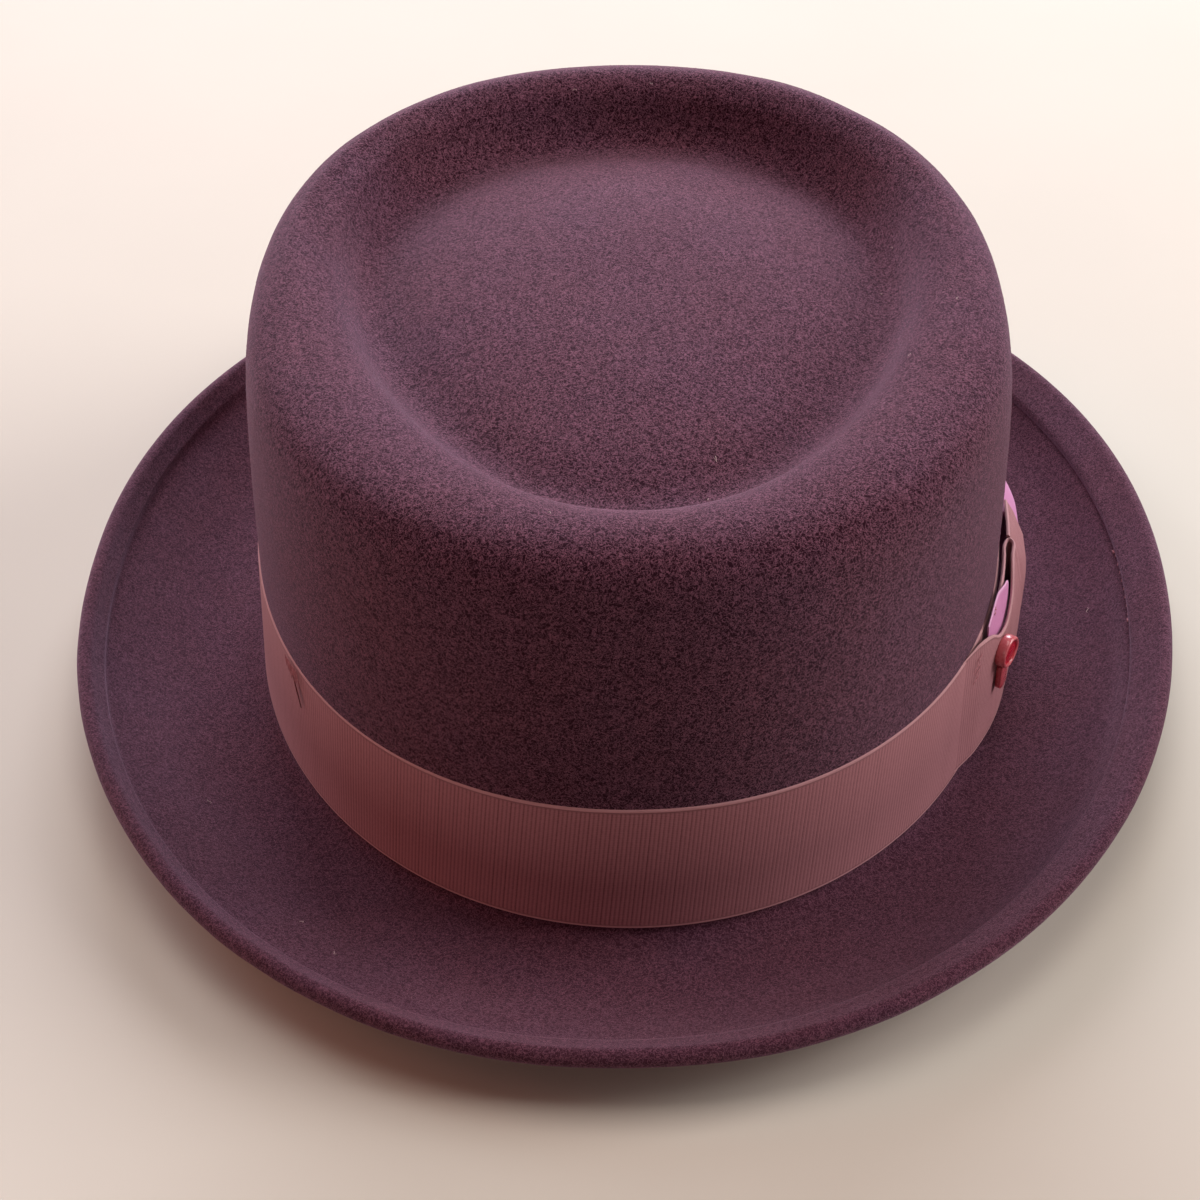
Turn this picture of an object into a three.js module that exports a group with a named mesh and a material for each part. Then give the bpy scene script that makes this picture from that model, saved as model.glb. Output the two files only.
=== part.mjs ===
// A pork pie hat in wool felt, with a grosgrain band and a small layered bow at the side.
//
// Millimetres, +Z up, front of the hat towards -Y, wearer's left (the bow) towards +X.
// The origin is on the surface that the brim rests on, under the middle of the brim. The crown
// sits a little forward of it, and the brim is turned a little round the crown.
//
// The felt is one sheet: the tip of the crown is pressed in as a well, the wall drops to the
// break, and the brim turns up to an edge that is folded over on top. A table gives the oval
// at each station from the middle of the tip out to the edge, and at every angle one smooth
// curve runs through those ovals. The ribbons are thin sheets laid round the wall.

import * as THREE from "three";

// ---------------------------------------------------------------- driving dimensions

const FELT_THICKNESS = 2.0;
const CROWN_HEIGHT = 101.7; // top of the rim above the surface
const WELL_DEPTH = 13.5; // from the rim down to the groove at the foot of the well
const TIP_RISE = 7.0; // middle of the tip above that groove
const WALL_FOOT = { width: 86.0, length: 102.5, right: 0.4, back: -0.8, z: 4.2, turn: 0.5, oval: 2.0 };
const WALL_TOP = { width: 81.7, length: 100.4, right: 0.2, back: -2.8, z: 93.5, turn: 0.9, oval: 2.25 };

const REST_RING_WIDTH = 6.5; // flat ring under the brim, next to the break
const BRIM_EDGE = { width: 124.9, length: 146.5, right: 0, back: 0, turn: -3.0, oval: 2.08 };
const BRIM_RISE = { side: 15.2, front: 11.4, back: 10.4 };
const BRIM_CURL = 1.8; // 1 is a straight slope, more keeps the brim flat and lifts its edge
const WELT_START = 0.75; // share of the brim where the felt folded over from the edge begins
const WELT_THICKNESS = 2.0;

const GAP = 0.3; // clearance between felt, ribbons and button
const RIBBON_THICKNESS = 0.6;
const LINING_THICKNESS = 0.4;
const BAND = { lowerZ: 4.7, upperZ: 38.5 };
const BOW = { lowerZ: 5.6, upperZ: 39.0, puffZ: 29.0 };

const BUTTON = { diameter: 7.6, thickness: 2.6, forward: 40, out: 3.7, z: 27.5, turn: 6 };
const TAB = { width: 3.0, length: 6.4, thickness: 1.2 };

const ANGLE_STEPS = 64; // facets round the hat

// ---------------------------------------------------------------- materials

const FELT = new THREE.MeshStandardMaterial({ color: 0x4a2c38, roughness: 0.95, metalness: 0 });
const GROSGRAIN = new THREE.MeshStandardMaterial({ color: 0x6b3d42, roughness: 0.7, metalness: 0 });
const LILAC = new THREE.MeshStandardMaterial({ color: 0xa8709c, roughness: 0.6, metalness: 0 });
const RED = new THREE.MeshStandardMaterial({ color: 0xa31d2b, roughness: 0.35, metalness: 0 });

// ---------------------------------------------------------------- ovals and the crown wall

const UP = new THREE.Vector3(0, 0, 1);

// A point of an oval: angle 0 is the wearer's left, and a quarter turn is the back of the head.
// A power of 2 in `oval` is an ellipse, and more is squarer. The oval is turned by `turn` degrees.
// An `egg` above 0 widens it behind the middle and narrows it in front, by that share at most.
function ovalPoint({ width, length, right, back, turn, oval, egg = 0 }, angle, z) {
  const c = Math.cos(angle);
  const s = Math.sin(angle);
  const k = (Math.abs(c) ** oval + Math.abs(s) ** oval) ** (-1 / oval);
  const point = new THREE.Vector3(width * c * k * (1 + egg * s * k), length * s * k, z);
  point.applyAxisAngle(UP, THREE.MathUtils.degToRad(turn));
  return point.add(new THREE.Vector3(right, back, 0));
}

// The outside of the wall at a height, moved out by a distance along its level normal.
function wallPoint(angle, z, out) {
  const share = (z - WALL_FOOT.z) / (WALL_TOP.z - WALL_FOOT.z);
  const row = {};
  for (const key of ["width", "length", "right", "back", "turn", "oval"]) {
    row[key] = THREE.MathUtils.lerp(WALL_FOOT[key], WALL_TOP[key], share);
  }
  const step = 0.01;
  const along = ovalPoint(row, angle + step, z).sub(ovalPoint(row, angle - step, z)).normalize();
  const outward = new THREE.Vector3(along.y, -along.x, 0);
  return ovalPoint(row, angle, z).addScaledVector(outward, out);
}

// ---------------------------------------------------------------- solids from rings

// Joins rings of vertices, each to the next, into one closed solid. `ends` says how it closes:
// "poles" where the first and last ring are one point, "joined" where the last ring meets the
// first, and "capped" where each end ring is the outline of a thin sheet.
function ringSolid(rings, ends) {
  const corners = [];
  const addFace = (a, b, c, d) => corners.push(a, b, c, a, c, d);
  const pairs = ends === "joined" ? rings.length : rings.length - 1;
  for (let i = 0; i < pairs; i += 1) {
    const near = rings[i];
    const far = rings[(i + 1) % rings.length];
    const count = Math.max(near.length, far.length);
    for (let j = 0; j < count; j += 1) {
      const next = (j + 1) % count;
      if (near.length === 1) {
        corners.push(near[0], far[j], far[next]);
      } else if (far.length === 1) {
        corners.push(near[j], far[0], near[next]);
      } else {
        addFace(near[j], far[j], far[next], near[next]);
      }
    }
  }
  if (ends === "capped") {
    const first = rings[0];
    const last = rings[rings.length - 1];
    const size = first.length;
    for (let k = 0; k < size / 2 - 1; k += 1) {
      addFace(first[k], first[k + 1], first[size - 2 - k], first[size - 1 - k]);
      addFace(last[k], last[size - 1 - k], last[size - 2 - k], last[k + 1]);
    }
  }
  return new THREE.BufferGeometry().setFromPoints(corners);
}

// ---------------------------------------------------------------- felt body

const GROOVE_Z = CROWN_HEIGHT - WELL_DEPTH;

// Stations of the outer face of the felt, from the middle of the tip to the break.
// width and length are half sizes of the oval, right and back place its middle, turn is in
// degrees, and facets is how many rings lead to it from the station before.
const WELL = { right: 0.8, turn: 0.6, oval: 2.05, egg: 0.165, facets: 1 };
const RIM = { right: 0.4, turn: 0.8, facets: 1 };
const CROWN_STATIONS = [
  { at: "middle of the tip", width: 0, length: 0, z: GROOVE_Z + TIP_RISE, back: 1.8, ...WELL },
  { at: "tip", width: 23, length: 30, z: GROOVE_Z + 6.5, back: 1.8, ...WELL },
  { at: "edge of the tip", width: 43, length: 56, z: GROOVE_Z + 3.1, back: 1.6, ...WELL },
  { at: "groove", width: 54.5, length: 72.1, z: GROOVE_Z, back: 2.9, ...WELL },
  { at: "foot of the well", width: 59, length: 76.9, z: GROOVE_Z + 2.2, back: 1.7, ...WELL },
  { at: "side of the well", width: 62, length: 79.9, z: GROOVE_Z + 6.4, back: 0.9, ...WELL },
  { at: "inside of the rim", width: 64.8, length: 82.4, z: GROOVE_Z + 10.2, back: 0, ...WELL },
  { at: "slope of the rim", width: 68.6, length: 85.6, z: CROWN_HEIGHT - 1.1,
    back: -0.6, oval: 2.08, egg: 0.15, ...RIM },
  { at: "top of the rim", width: 73.2, length: 90.2, z: CROWN_HEIGHT,
    back: -1.8, oval: 2.12, egg: 0.085, ...RIM, facets: 2 },
  { at: "outside of the rim", width: 76.6, length: 94.6, z: CROWN_HEIGHT - 0.8,
    back: -2.6, oval: 2.18, egg: 0.02, ...RIM },
  { at: "shoulder", width: 79.6, length: 98.2, z: CROWN_HEIGHT - 2.9,
    back: -2.6, oval: 2.2, egg: 0, ...RIM },
  { at: "top of the wall", ...WALL_TOP, facets: 2 },
  { at: "foot of the wall", ...WALL_FOOT, facets: 4 },
  { at: "break", ...WALL_FOOT, width: 86.8, length: 103.3, z: 2.7, facets: 1 },
];

// The flat ring that the hat stands on, then the brim turning up to its edge.
function brimStations() {
  const inner = CROWN_STATIONS[CROWN_STATIONS.length - 1];
  const start = { ...inner, width: inner.width + 2.2, length: inner.length + 2.2 };
  const flat = { ...start, width: start.width + REST_RING_WIDTH, length: start.length + REST_RING_WIDTH };
  const common = { z: FELT_THICKNESS, facets: 1 };
  const stations = [
    { ...start, ...common, at: "start of the flat ring", rests: true },
    { ...flat, ...common, at: "end of the flat ring", rests: true },
  ];
  const weltInner = WELT_START - 0.015;
  const weltOuter = WELT_START + 0.025;
  for (const share of [0.22, 0.42, 0.6, weltInner, weltOuter, 0.89, 1]) {
    const station = { ...common, at: `brim at ${share}`, rise: share ** BRIM_CURL };
    for (const key of ["width", "length", "right", "back", "turn", "oval"]) {
      station[key] = THREE.MathUtils.lerp(flat[key], BRIM_EDGE[key], share);
    }
    station.welt = share > WELT_START ? WELT_THICKNESS : 0;
    stations.push(station);
  }
  return stations;
}

// How far the edge rises at an angle: most at the sides, less at the front and back.
function edgeRise(angle) {
  const lengthwise = Math.sin(angle) ** 2;
  const end = Math.sin(angle) < 0 ? BRIM_RISE.front : BRIM_RISE.back;
  return THREE.MathUtils.lerp(BRIM_RISE.side, end, lengthwise);
}

function feltBody() {
  const stations = [...CROWN_STATIONS, ...brimStations()];
  const angleAt = (j) => (j * 2 * Math.PI) / ANGLE_STEPS;
  const sections = Array.from({ length: ANGLE_STEPS }, (_, j) => {
    const points = stations.map((s) => ovalPoint(s, angleAt(j), s.z + (s.rise ?? 0) * edgeRise(angleAt(j))));
    return new THREE.CatmullRomCurve3(points, false, "centripetal");
  });

  const upper = [];
  const under = [];
  let edge = [];
  for (let k = 1; k < stations.length; k += 1) {
    for (let m = 1; m <= stations[k].facets; m += 1) {
      const share = m / stations[k].facets;
      const t = (k - 1 + share) / (stations.length - 1);
      const welt = THREE.MathUtils.lerp(stations[k - 1].welt ?? 0, stations[k].welt ?? 0, share);
      const points = sections.map((section) => section.getPoint(t));
      const alongs = sections.map((section) => section.getTangent(t));
      const normals = points.map((_, j) => {
        const around = points[(j + 1) % ANGLE_STEPS].clone().sub(points[(j + ANGLE_STEPS - 1) % ANGLE_STEPS]);
        return new THREE.Vector3().crossVectors(alongs[j], around).normalize();
      });
      upper.push(points.map((p, j) => p.clone().addScaledVector(normals[j], welt)));
      under.push(points.map((p, j) => {
        const below = p.clone().addScaledVector(normals[j], -FELT_THICKNESS);
        return below.setZ(stations[k].rests ? 0 : Math.max(0, below.z));
      }));
      edge = points.map((point, j) => ({ point, along: alongs[j], normal: normals[j] }));
    }
  }

  // The fold along the edge is a half round from the upper face to the under face.
  const radius = (FELT_THICKNESS + WELT_THICKNESS) / 2;
  const roundEdge = [45, 90, 135].map((degrees) => {
    const turn = THREE.MathUtils.degToRad(degrees);
    return edge.map(({ point, along, normal }) => point.clone()
      .addScaledVector(normal, WELT_THICKNESS - radius + radius * Math.cos(turn))
      .addScaledVector(along, radius * Math.sin(turn)));
  });

  const tip = ovalPoint(stations[0], 0, stations[0].z);
  const tipInside = tip.clone().setZ(tip.z - FELT_THICKNESS);
  return ringSolid([[tip], ...upper, ...roundEdge, ...under.reverse(), [tipInside]], "poles");
}

// ---------------------------------------------------------------- hat band

function hatBand() {
  const ring = (z, out) => Array.from({ length: ANGLE_STEPS }, (_, j) => (
    wallPoint((j * 2 * Math.PI) / ANGLE_STEPS, z, out)
  ));
  const inside = GAP;
  const outside = GAP + RIBBON_THICKNESS;
  return ringSolid([
    ring(BAND.upperZ, outside),
    ring(BAND.lowerZ, outside),
    ring(BAND.lowerZ, inside),
    ring(BAND.upperZ, inside),
  ], "joined");
}

// ---------------------------------------------------------------- side bow

// A place on the bow: forward is millimetres towards the front from the widest part of the
// hat, and out is the distance from the felt wall.
function bowPoint(forward, out, z) {
  return wallPoint(-Math.asin(forward / WALL_FOOT.length), z, out);
}

const ON_BAND = 2 * GAP + RIBBON_THICKNESS; // first clear distance outside the band
const LOOP_INSIDE = ON_BAND + RIBBON_THICKNESS;
const LINING_AT = LOOP_INSIDE + GAP;

// Each row places one face of a ribbon: low, puff and high are its distances out from the
// wall at its lower edge, at the height where it stands out most, and at its upper edge. Where
// the ribbon leans out, a dip says how far its upper edge comes down.
const FRONT_LOOP = [
  { forward: 34, low: LOOP_INSIDE, puff: LOOP_INSIDE, high: LOOP_INSIDE },
  { forward: 28, low: LOOP_INSIDE, puff: LOOP_INSIDE, high: LOOP_INSIDE },
  { forward: 22, low: LOOP_INSIDE, puff: LOOP_INSIDE, high: LOOP_INSIDE },
  { forward: 18, low: LOOP_INSIDE, puff: LOOP_INSIDE, high: LOOP_INSIDE },
  { forward: 15.9, low: 2.6, puff: 3.2, high: 2.5 },
  { forward: 17, low: 3.2, puff: 4.9, high: 3.2 },
  { forward: 20.5, low: 3.2, puff: 4.8, high: 2.9, dip: 0.4 },
  { forward: 25, low: 3.1, puff: 4.3, high: 2.9, dip: 1.6 },
  { forward: 30.5, low: 3.0, puff: 3.8, high: 3.3, dip: 3.6 },
  { forward: 36, low: 2.8, puff: 3.1, high: 3.4, dip: 5.0 },
  { forward: 41, low: 2.4, puff: 2.5, high: 2.9, dip: 4.4 },
  { forward: 46, low: 1.9, puff: 2.0, high: 2.2, dip: 2.0 },
  { forward: 51, low: 1.3, puff: 1.3, high: 1.35, dip: 0.5 },
  { forward: 54, low: ON_BAND, puff: ON_BAND, high: ON_BAND, dip: 0.4 },
];

const LINING = [
  { forward: 18.5, low: LINING_AT, puff: LINING_AT, high: LINING_AT },
  { forward: 30, low: LINING_AT, puff: LINING_AT, high: LINING_AT },
  { forward: 36, low: 1.9, puff: 1.9, high: 1.9 },
  { forward: 41, low: 1.5, puff: 1.5, high: 1.5 },
  { forward: 46, low: ON_BAND, puff: ON_BAND, high: ON_BAND },
];

const REAR_FLAP = [
  { forward: 1.5, low: 3.4, puff: 5.4, high: 2.1 },
  { forward: 6, low: 3.4, puff: 5.5, high: 2.0 },
  { forward: 10.5, low: 3.2, puff: 5.2, high: 2.0 },
  { forward: 14.6, low: 2.9, puff: 4.6, high: 1.9 },
];

const TAIL = [
  { forward: -40, low: ON_BAND, puff: ON_BAND, high: ON_BAND },
  { forward: -32, low: 1.7, puff: 2.4, high: 1.6 },
  { forward: -22, low: 2.4, puff: 3.6, high: 1.9 },
  { forward: -12, low: 2.8, puff: 4.6, high: 2.2 },
  { forward: -4, low: 2.7, puff: 4.8, high: 1.9 },
  { forward: 1, low: 2.5, puff: 4.5, high: 1.35 },
  { forward: 5, low: 2.3, puff: 4.2, high: 1.25 },
];

// The distance out at a height, on the parabola through the row's three distances.
function outAt(row, z) {
  const { lowerZ: a, puffZ: b, upperZ: c } = BOW;
  return (row.low * (z - b) * (z - c)) / ((a - b) * (a - c))
    + (row.puff * (z - a) * (z - c)) / ((b - a) * (b - c))
    + (row.high * (z - a) * (z - b)) / ((c - a) * (c - b));
}

// A ribbon through the rows of a table. Its thickness is laid on the side away from the
// middle of a loop, or away from the hat on a strip whose rows run towards the front.
function ribbon(rows, thickness, facets) {
  const pointOf = (row, share) => {
    const z = THREE.MathUtils.lerp(BOW.upperZ - (row.dip ?? 0), BOW.lowerZ, share);
    return bowPoint(row.forward, outAt(row, z), z);
  };
  const curves = [0, 0.25, 0.5, 0.75, 1].map((share) => (
    new THREE.CatmullRomCurve3(rows.map((row) => pointOf(row, share)), false, "centripetal")
  ));
  const rings = [];
  for (let i = 0; i <= facets; i += 1) {
    const face = curves.map((curve) => curve.getPoint(i / facets));
    const back = face.map((point, k) => {
      const along = curves[k].getTangent(i / facets);
      const upward = face[Math.max(k - 1, 0)].clone().sub(face[Math.min(k + 1, face.length - 1)]);
      const normal = new THREE.Vector3().crossVectors(upward, along).normalize();
      return point.clone().addScaledVector(normal, thickness);
    });
    rings.push([...back, ...face.reverse()]);
  }
  return ringSolid(rings, "capped");
}

// ---------------------------------------------------------------- red button

// A frame on the front loop: its X points out of the ribbon, and its Z up along it.
function placeOnLoop(mesh, forward, out, z) {
  const here = bowPoint(forward, out, z);
  const outward = bowPoint(forward, out + 1, z).sub(here);
  mesh.position.copy(here);
  mesh.rotation.z = Math.atan2(outward.y, outward.x) - THREE.MathUtils.degToRad(BUTTON.turn);
  return mesh;
}

function button() {
  const radius = BUTTON.diameter / 2;
  const rounding = 0.6;
  const profile = new THREE.Path();
  profile.moveTo(0, 0);
  profile.lineTo(radius, 0);
  profile.lineTo(radius, BUTTON.thickness - rounding);
  profile.absarc(radius - rounding, BUTTON.thickness - rounding, rounding, 0, Math.PI / 2, false);
  profile.lineTo(0, BUTTON.thickness);
  const geometry = new THREE.LatheGeometry(profile.getPoints(3), 28);
  return geometry.rotateZ(-Math.PI / 2);
}

function buttonTab() {
  const half = TAB.width / 2;
  const shape = new THREE.Shape();
  shape.moveTo(-half, -TAB.length + half);
  shape.absarc(0, -TAB.length + half, half, Math.PI, 2 * Math.PI, false);
  shape.lineTo(half, 0);
  shape.lineTo(-half, 0);
  const options = { depth: TAB.thickness, bevelEnabled: false, curveSegments: 6 };
  return new THREE.ExtrudeGeometry(shape, options).rotateX(Math.PI / 2).rotateZ(Math.PI / 2);
}

// ---------------------------------------------------------------- the hat

const hat = new THREE.Group();

function add(name, geometry, material) {
  const mesh = new THREE.Mesh(geometry, material);
  mesh.name = name;
  hat.add(mesh);
  return mesh;
}

add("felt_body", feltBody(), FELT);
add("hat_band", hatBand(), GROSGRAIN);
add("bow_front_loop", ribbon(FRONT_LOOP, RIBBON_THICKNESS, 26), GROSGRAIN);
add("bow_lining", ribbon(LINING, LINING_THICKNESS, 8), LILAC);
add("bow_rear_flap", ribbon(REAR_FLAP, RIBBON_THICKNESS, 5), GROSGRAIN);
add("bow_tail", ribbon(TAIL, LINING_THICKNESS, 14), LILAC);
placeOnLoop(add("red_button", button(), RED), BUTTON.forward, BUTTON.out, BUTTON.z);
const tabTop = BUTTON.z - BUTTON.diameter / 2 - GAP;
placeOnLoop(add("red_button_tab", buttonTab(), RED), BUTTON.forward, BUTTON.out, tabTop);

export default hat;
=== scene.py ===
# %% [markdown]
# # A pork pie hat in wool felt
#
# The real hat is one sheet of wool felt, steamed over a block: a flat-topped crown whose tip is
# pressed in as a shallow well, a straight wall, and a narrow brim that turns up all round to an
# edge folded over on itself. A grosgrain ribbon goes round the crown, and on the wearer's left it
# ends in a small bow of layered ribbons with a red button on it.
#
# The shapes below are built on the part's own sizes, in metres, +Z up, with the front of the hat
# towards -Y. Everything rides on the one body of the part.

import math

import bpy
import numpy as np
from mathutils import Matrix, Vector, noise


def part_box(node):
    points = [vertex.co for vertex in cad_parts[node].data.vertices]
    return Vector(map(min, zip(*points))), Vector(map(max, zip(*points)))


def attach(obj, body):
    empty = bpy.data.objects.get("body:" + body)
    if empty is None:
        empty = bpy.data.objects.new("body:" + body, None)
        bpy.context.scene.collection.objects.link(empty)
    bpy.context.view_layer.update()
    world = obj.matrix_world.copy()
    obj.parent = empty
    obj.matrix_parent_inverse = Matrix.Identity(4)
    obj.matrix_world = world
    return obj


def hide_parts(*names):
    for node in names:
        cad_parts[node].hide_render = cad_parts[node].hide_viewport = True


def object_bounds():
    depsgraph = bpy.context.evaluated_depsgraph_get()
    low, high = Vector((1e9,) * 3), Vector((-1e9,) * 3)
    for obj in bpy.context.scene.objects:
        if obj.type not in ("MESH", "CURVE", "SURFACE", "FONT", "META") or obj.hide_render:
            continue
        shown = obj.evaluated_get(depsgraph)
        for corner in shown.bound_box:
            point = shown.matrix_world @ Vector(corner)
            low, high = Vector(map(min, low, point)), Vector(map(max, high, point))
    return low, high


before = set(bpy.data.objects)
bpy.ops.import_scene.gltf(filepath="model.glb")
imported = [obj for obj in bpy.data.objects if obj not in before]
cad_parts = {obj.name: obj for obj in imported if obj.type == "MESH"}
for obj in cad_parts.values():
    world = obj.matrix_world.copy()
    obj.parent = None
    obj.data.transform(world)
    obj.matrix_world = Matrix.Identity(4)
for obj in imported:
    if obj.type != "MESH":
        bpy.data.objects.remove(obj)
cad_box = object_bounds()
MM = 0.001
print("CAD box, mm:", [round(v / MM, 1) for corner in cad_box for v in corner])

# %% [markdown]
# ## Camera
#
# The hat is looked down on from the front, from a little over half a metre away. A camera could be
# placed by its own coordinates, but it is easier to judge by a target on the object, a distance
# and angles. The longer lens keeps the crown from looking too large against the brim, as a close
# wide lens would make it.

# %% The camera
TARGET = Vector((-0.0062, -0.0008, 0.0089))
DISTANCE = 0.6201
AZIMUTH, ELEVATION, ROLL = (math.radians(a) for a in (0.34, 39.47, -0.44))
LENS, SENSOR = 78.0, 36.0  # millimetres

back = Vector((math.sin(AZIMUTH) * math.cos(ELEVATION),
               -math.cos(AZIMUTH) * math.cos(ELEVATION),
               math.sin(ELEVATION)))
camera = bpy.data.objects.new("camera", bpy.data.cameras.new("camera"))
bpy.context.scene.collection.objects.link(camera)
camera.data.lens = LENS
camera.data.sensor_width = SENSOR
camera.data.clip_start, camera.data.clip_end = 0.01, 50.0
camera.rotation_mode = "QUATERNION"
camera.location = TARGET + DISTANCE * back
roll = Matrix.Rotation(ROLL, 3, "Z").to_quaternion()
camera.rotation_quaternion = (-back).to_track_quat("-Z", "Y") @ roll
bpy.context.scene.camera = camera
print("camera at, mm:", [round(v / MM) for v in camera.location])

# %% [markdown]
# ## Colour and nodes
#
# Colours are written as sRGB hex values, as a colour picker shows them. Shader sockets want
# linear light, so one function turns the one into the other. Another small function adds a node,
# sets it and links it, which keeps each material below short enough to read.

# %% Colour and node helpers
def linear(code):
    """An sRGB hex colour as the linear red, green, blue and alpha that sockets take."""
    parts = [int(code[i:i + 2], 16) / 255 for i in (1, 3, 5)]
    return tuple(p / 12.92 if p < 0.04045 else ((p + 0.055) / 1.055) ** 2.4 for p in parts) + (1.0,)


def add_node(tree, kind, settings, inputs):
    """Adds a node, sets its settings, and gives each input a value or a link."""
    made = tree.nodes.new(kind)
    for name, value in settings.items():
        setattr(made, name, value)
    for name, value in inputs.items():
        if isinstance(value, bpy.types.NodeSocket):
            tree.links.new(value, made.inputs[name])
        else:
            made.inputs[name].default_value = value
    return made


def start_material(name):
    """A material with an empty node tree."""
    material = bpy.data.materials.new(name)
    material.use_nodes = True
    material.node_tree.nodes.clear()
    return material, material.node_tree


# The Mix node has a set of sockets for each kind of value. These are the ones for colours.
MIX_A, MIX_B, MIX_RESULT = 6, 7, 2
print("middle grey #808080 is", round(linear("#808080")[0], 3), "in linear light")

# %% [markdown]
# ## Floor and light
#
# A dark, matt hat reads best on a plain pale floor. A curved backdrop would hide the horizon, but
# the hat is mostly looked down on, so one large square is enough.
#
# The light is wide and soft. It comes from behind, above and the right, so the tip of the crown is
# the brightest part and the front of the wall falls into shade. The light from behind is cool, and
# weak warm lamps in front and on the left lift the ribbon out of that shade. Felt shows its nap
# best in light from behind, which the fibres that stand up catch.

# %% Floor
def floor_material():
    """Matt painted board: pale, with very faint clouds about 0.1 m across."""
    material, tree = start_material("painted_board")
    place = add_node(tree, "ShaderNodeTexCoord", {}, {})
    cloud = add_node(tree, "ShaderNodeTexNoise", {}, {
        "Vector": place.outputs["Object"], "Scale": 9.0, "Detail": 4.0})
    colour = add_node(tree, "ShaderNodeMix", {"data_type": "RGBA"}, {
        "Factor": cloud.outputs["Fac"], MIX_A: linear("#c2bcb1"), MIX_B: linear("#c9c3b8")})
    shader = add_node(tree, "ShaderNodeBsdfPrincipled", {}, {
        "Base Color": colour.outputs[MIX_RESULT], "Roughness": 0.85, "Specular IOR Level": 0.2})
    add_node(tree, "ShaderNodeOutputMaterial", {}, {"Surface": shader.outputs["BSDF"]})
    return material


FLOOR_HALF = 6.0
FLOOR_Z = -0.0002  # just under the hat, so the two faces don't lie in each other
floor_mesh = bpy.data.meshes.new("floor")
floor_mesh.from_pydata(
    [(x * FLOOR_HALF, y * FLOOR_HALF, FLOOR_Z) for x, y in ((-1, -1), (1, -1), (1, 1), (-1, 1))],
    [], [(0, 1, 2, 3)])
floor = bpy.data.objects.new("floor", floor_mesh)
floor.data.materials.append(floor_material())
bpy.context.scene.collection.objects.link(floor)
print("floor", 2 * FLOOR_HALF, "m square, at z, mm:", FLOOR_Z / MM)

# %% Lamps
def soft_lamp(name, place, aim, size, power, colour):
    """A rectangular soft box at a place, facing a point."""
    lamp = bpy.data.lights.new(name, "AREA")
    lamp.shape = "RECTANGLE"
    lamp.size, lamp.size_y = size
    lamp.energy = power
    lamp.color = linear(colour)[:3]
    holder = bpy.data.objects.new(name, lamp)
    holder.location = place
    holder.rotation_mode = "QUATERNION"
    holder.rotation_quaternion = (Vector(aim) - Vector(place)).to_track_quat("-Z", "Y")
    bpy.context.scene.collection.objects.link(holder)


# Columns: name, place and the point it faces in metres, width and height, watts and colour.
LAMPS = [
    ("back_lamp", (0.0, 1.75, 0.85), (0, 0, 0.05), (1.2, 0.8), 48, "#f1f3ff"),
    ("back_left_lamp", (-1.2, 1.2, 0.9), (0, 0, 0.05), (1.0, 1.0), 15, "#eef4ff"),
    ("top_lamp", (0.0, 0.15, 1.9), (0, 0, 0.05), (1.2, 1.2), 14, "#fff8f4"),
    ("right_lamp", (1.45, 0.1, 0.85), (0, 0, 0.05), (1.0, 1.0), 27, "#fff8f6"),
    ("left_lamp", (-1.45, 0.1, 0.85), (0, 0, 0.05), (1.0, 1.0), 7, "#ffa58c"),
    ("front_lamp", (-0.5, -1.5, 0.8), (0, 0, 0.03), (1.2, 0.8), 4.5, "#ffd2ca"),
]
for lamp_row in LAMPS:
    soft_lamp(*lamp_row)

world = bpy.data.worlds.new("studio")
world.use_nodes = True
sky = world.node_tree.nodes["Background"]
sky.inputs["Color"].default_value = linear("#e9e6e4")
sky.inputs["Strength"].default_value = 0.02
bpy.context.scene.world = world
bpy.context.scene.view_settings.view_transform = "Standard"
print(len(LAMPS), "lamps,", sum(row[4] for row in LAMPS), "W in all")

# %% [markdown]
# ## Ovals and the wall of the crown
#
# A hat is laid out with ovals: the band block, the tip and the brim are each one, a little
# squarer than an ellipse and not quite in line with each other, and the well in the tip is wider
# at the back, like an egg. Scaled circles would miss both. A ring is therefore a row with two half
# sizes, a place, a turn in degrees, a power that says how square it is, and where needed a share
# by which it widens towards the back. NumPy works out a whole ring at once.

# %% Ovals
FELT_THICKNESS = 0.0020
CROWN_HEIGHT = cad_box[1].z
WELL_DEPTH = 0.0135
TIP_RISE = 0.0070
WALL_FOOT = dict(width=0.0860, length=0.1025, right=0.0004, back=-0.0008, z=0.0042, turn=0.5, oval=2.0)
WALL_TOP = dict(width=0.0817, length=0.1004, right=0.0002, back=-0.0028, z=0.0935, turn=0.9, oval=2.25)


def oval_ring(row, angles):
    """Points of a row's oval at some angles: 0 is the wearer's left and a quarter turn the back."""
    c, s = np.cos(angles), np.sin(angles)
    k = (np.abs(c) ** row["oval"] + np.abs(s) ** row["oval"]) ** (-1 / row["oval"])
    x = row["width"] * c * k * (1 + row.get("egg", 0) * s * k)
    y = row["length"] * s * k
    turn = np.radians(row["turn"])
    return np.stack([x * np.cos(turn) - y * np.sin(turn) + row["right"],
                     x * np.sin(turn) + y * np.cos(turn) + row["back"],
                     np.broadcast_to(row["z"], x.shape)], axis=-1)


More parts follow.
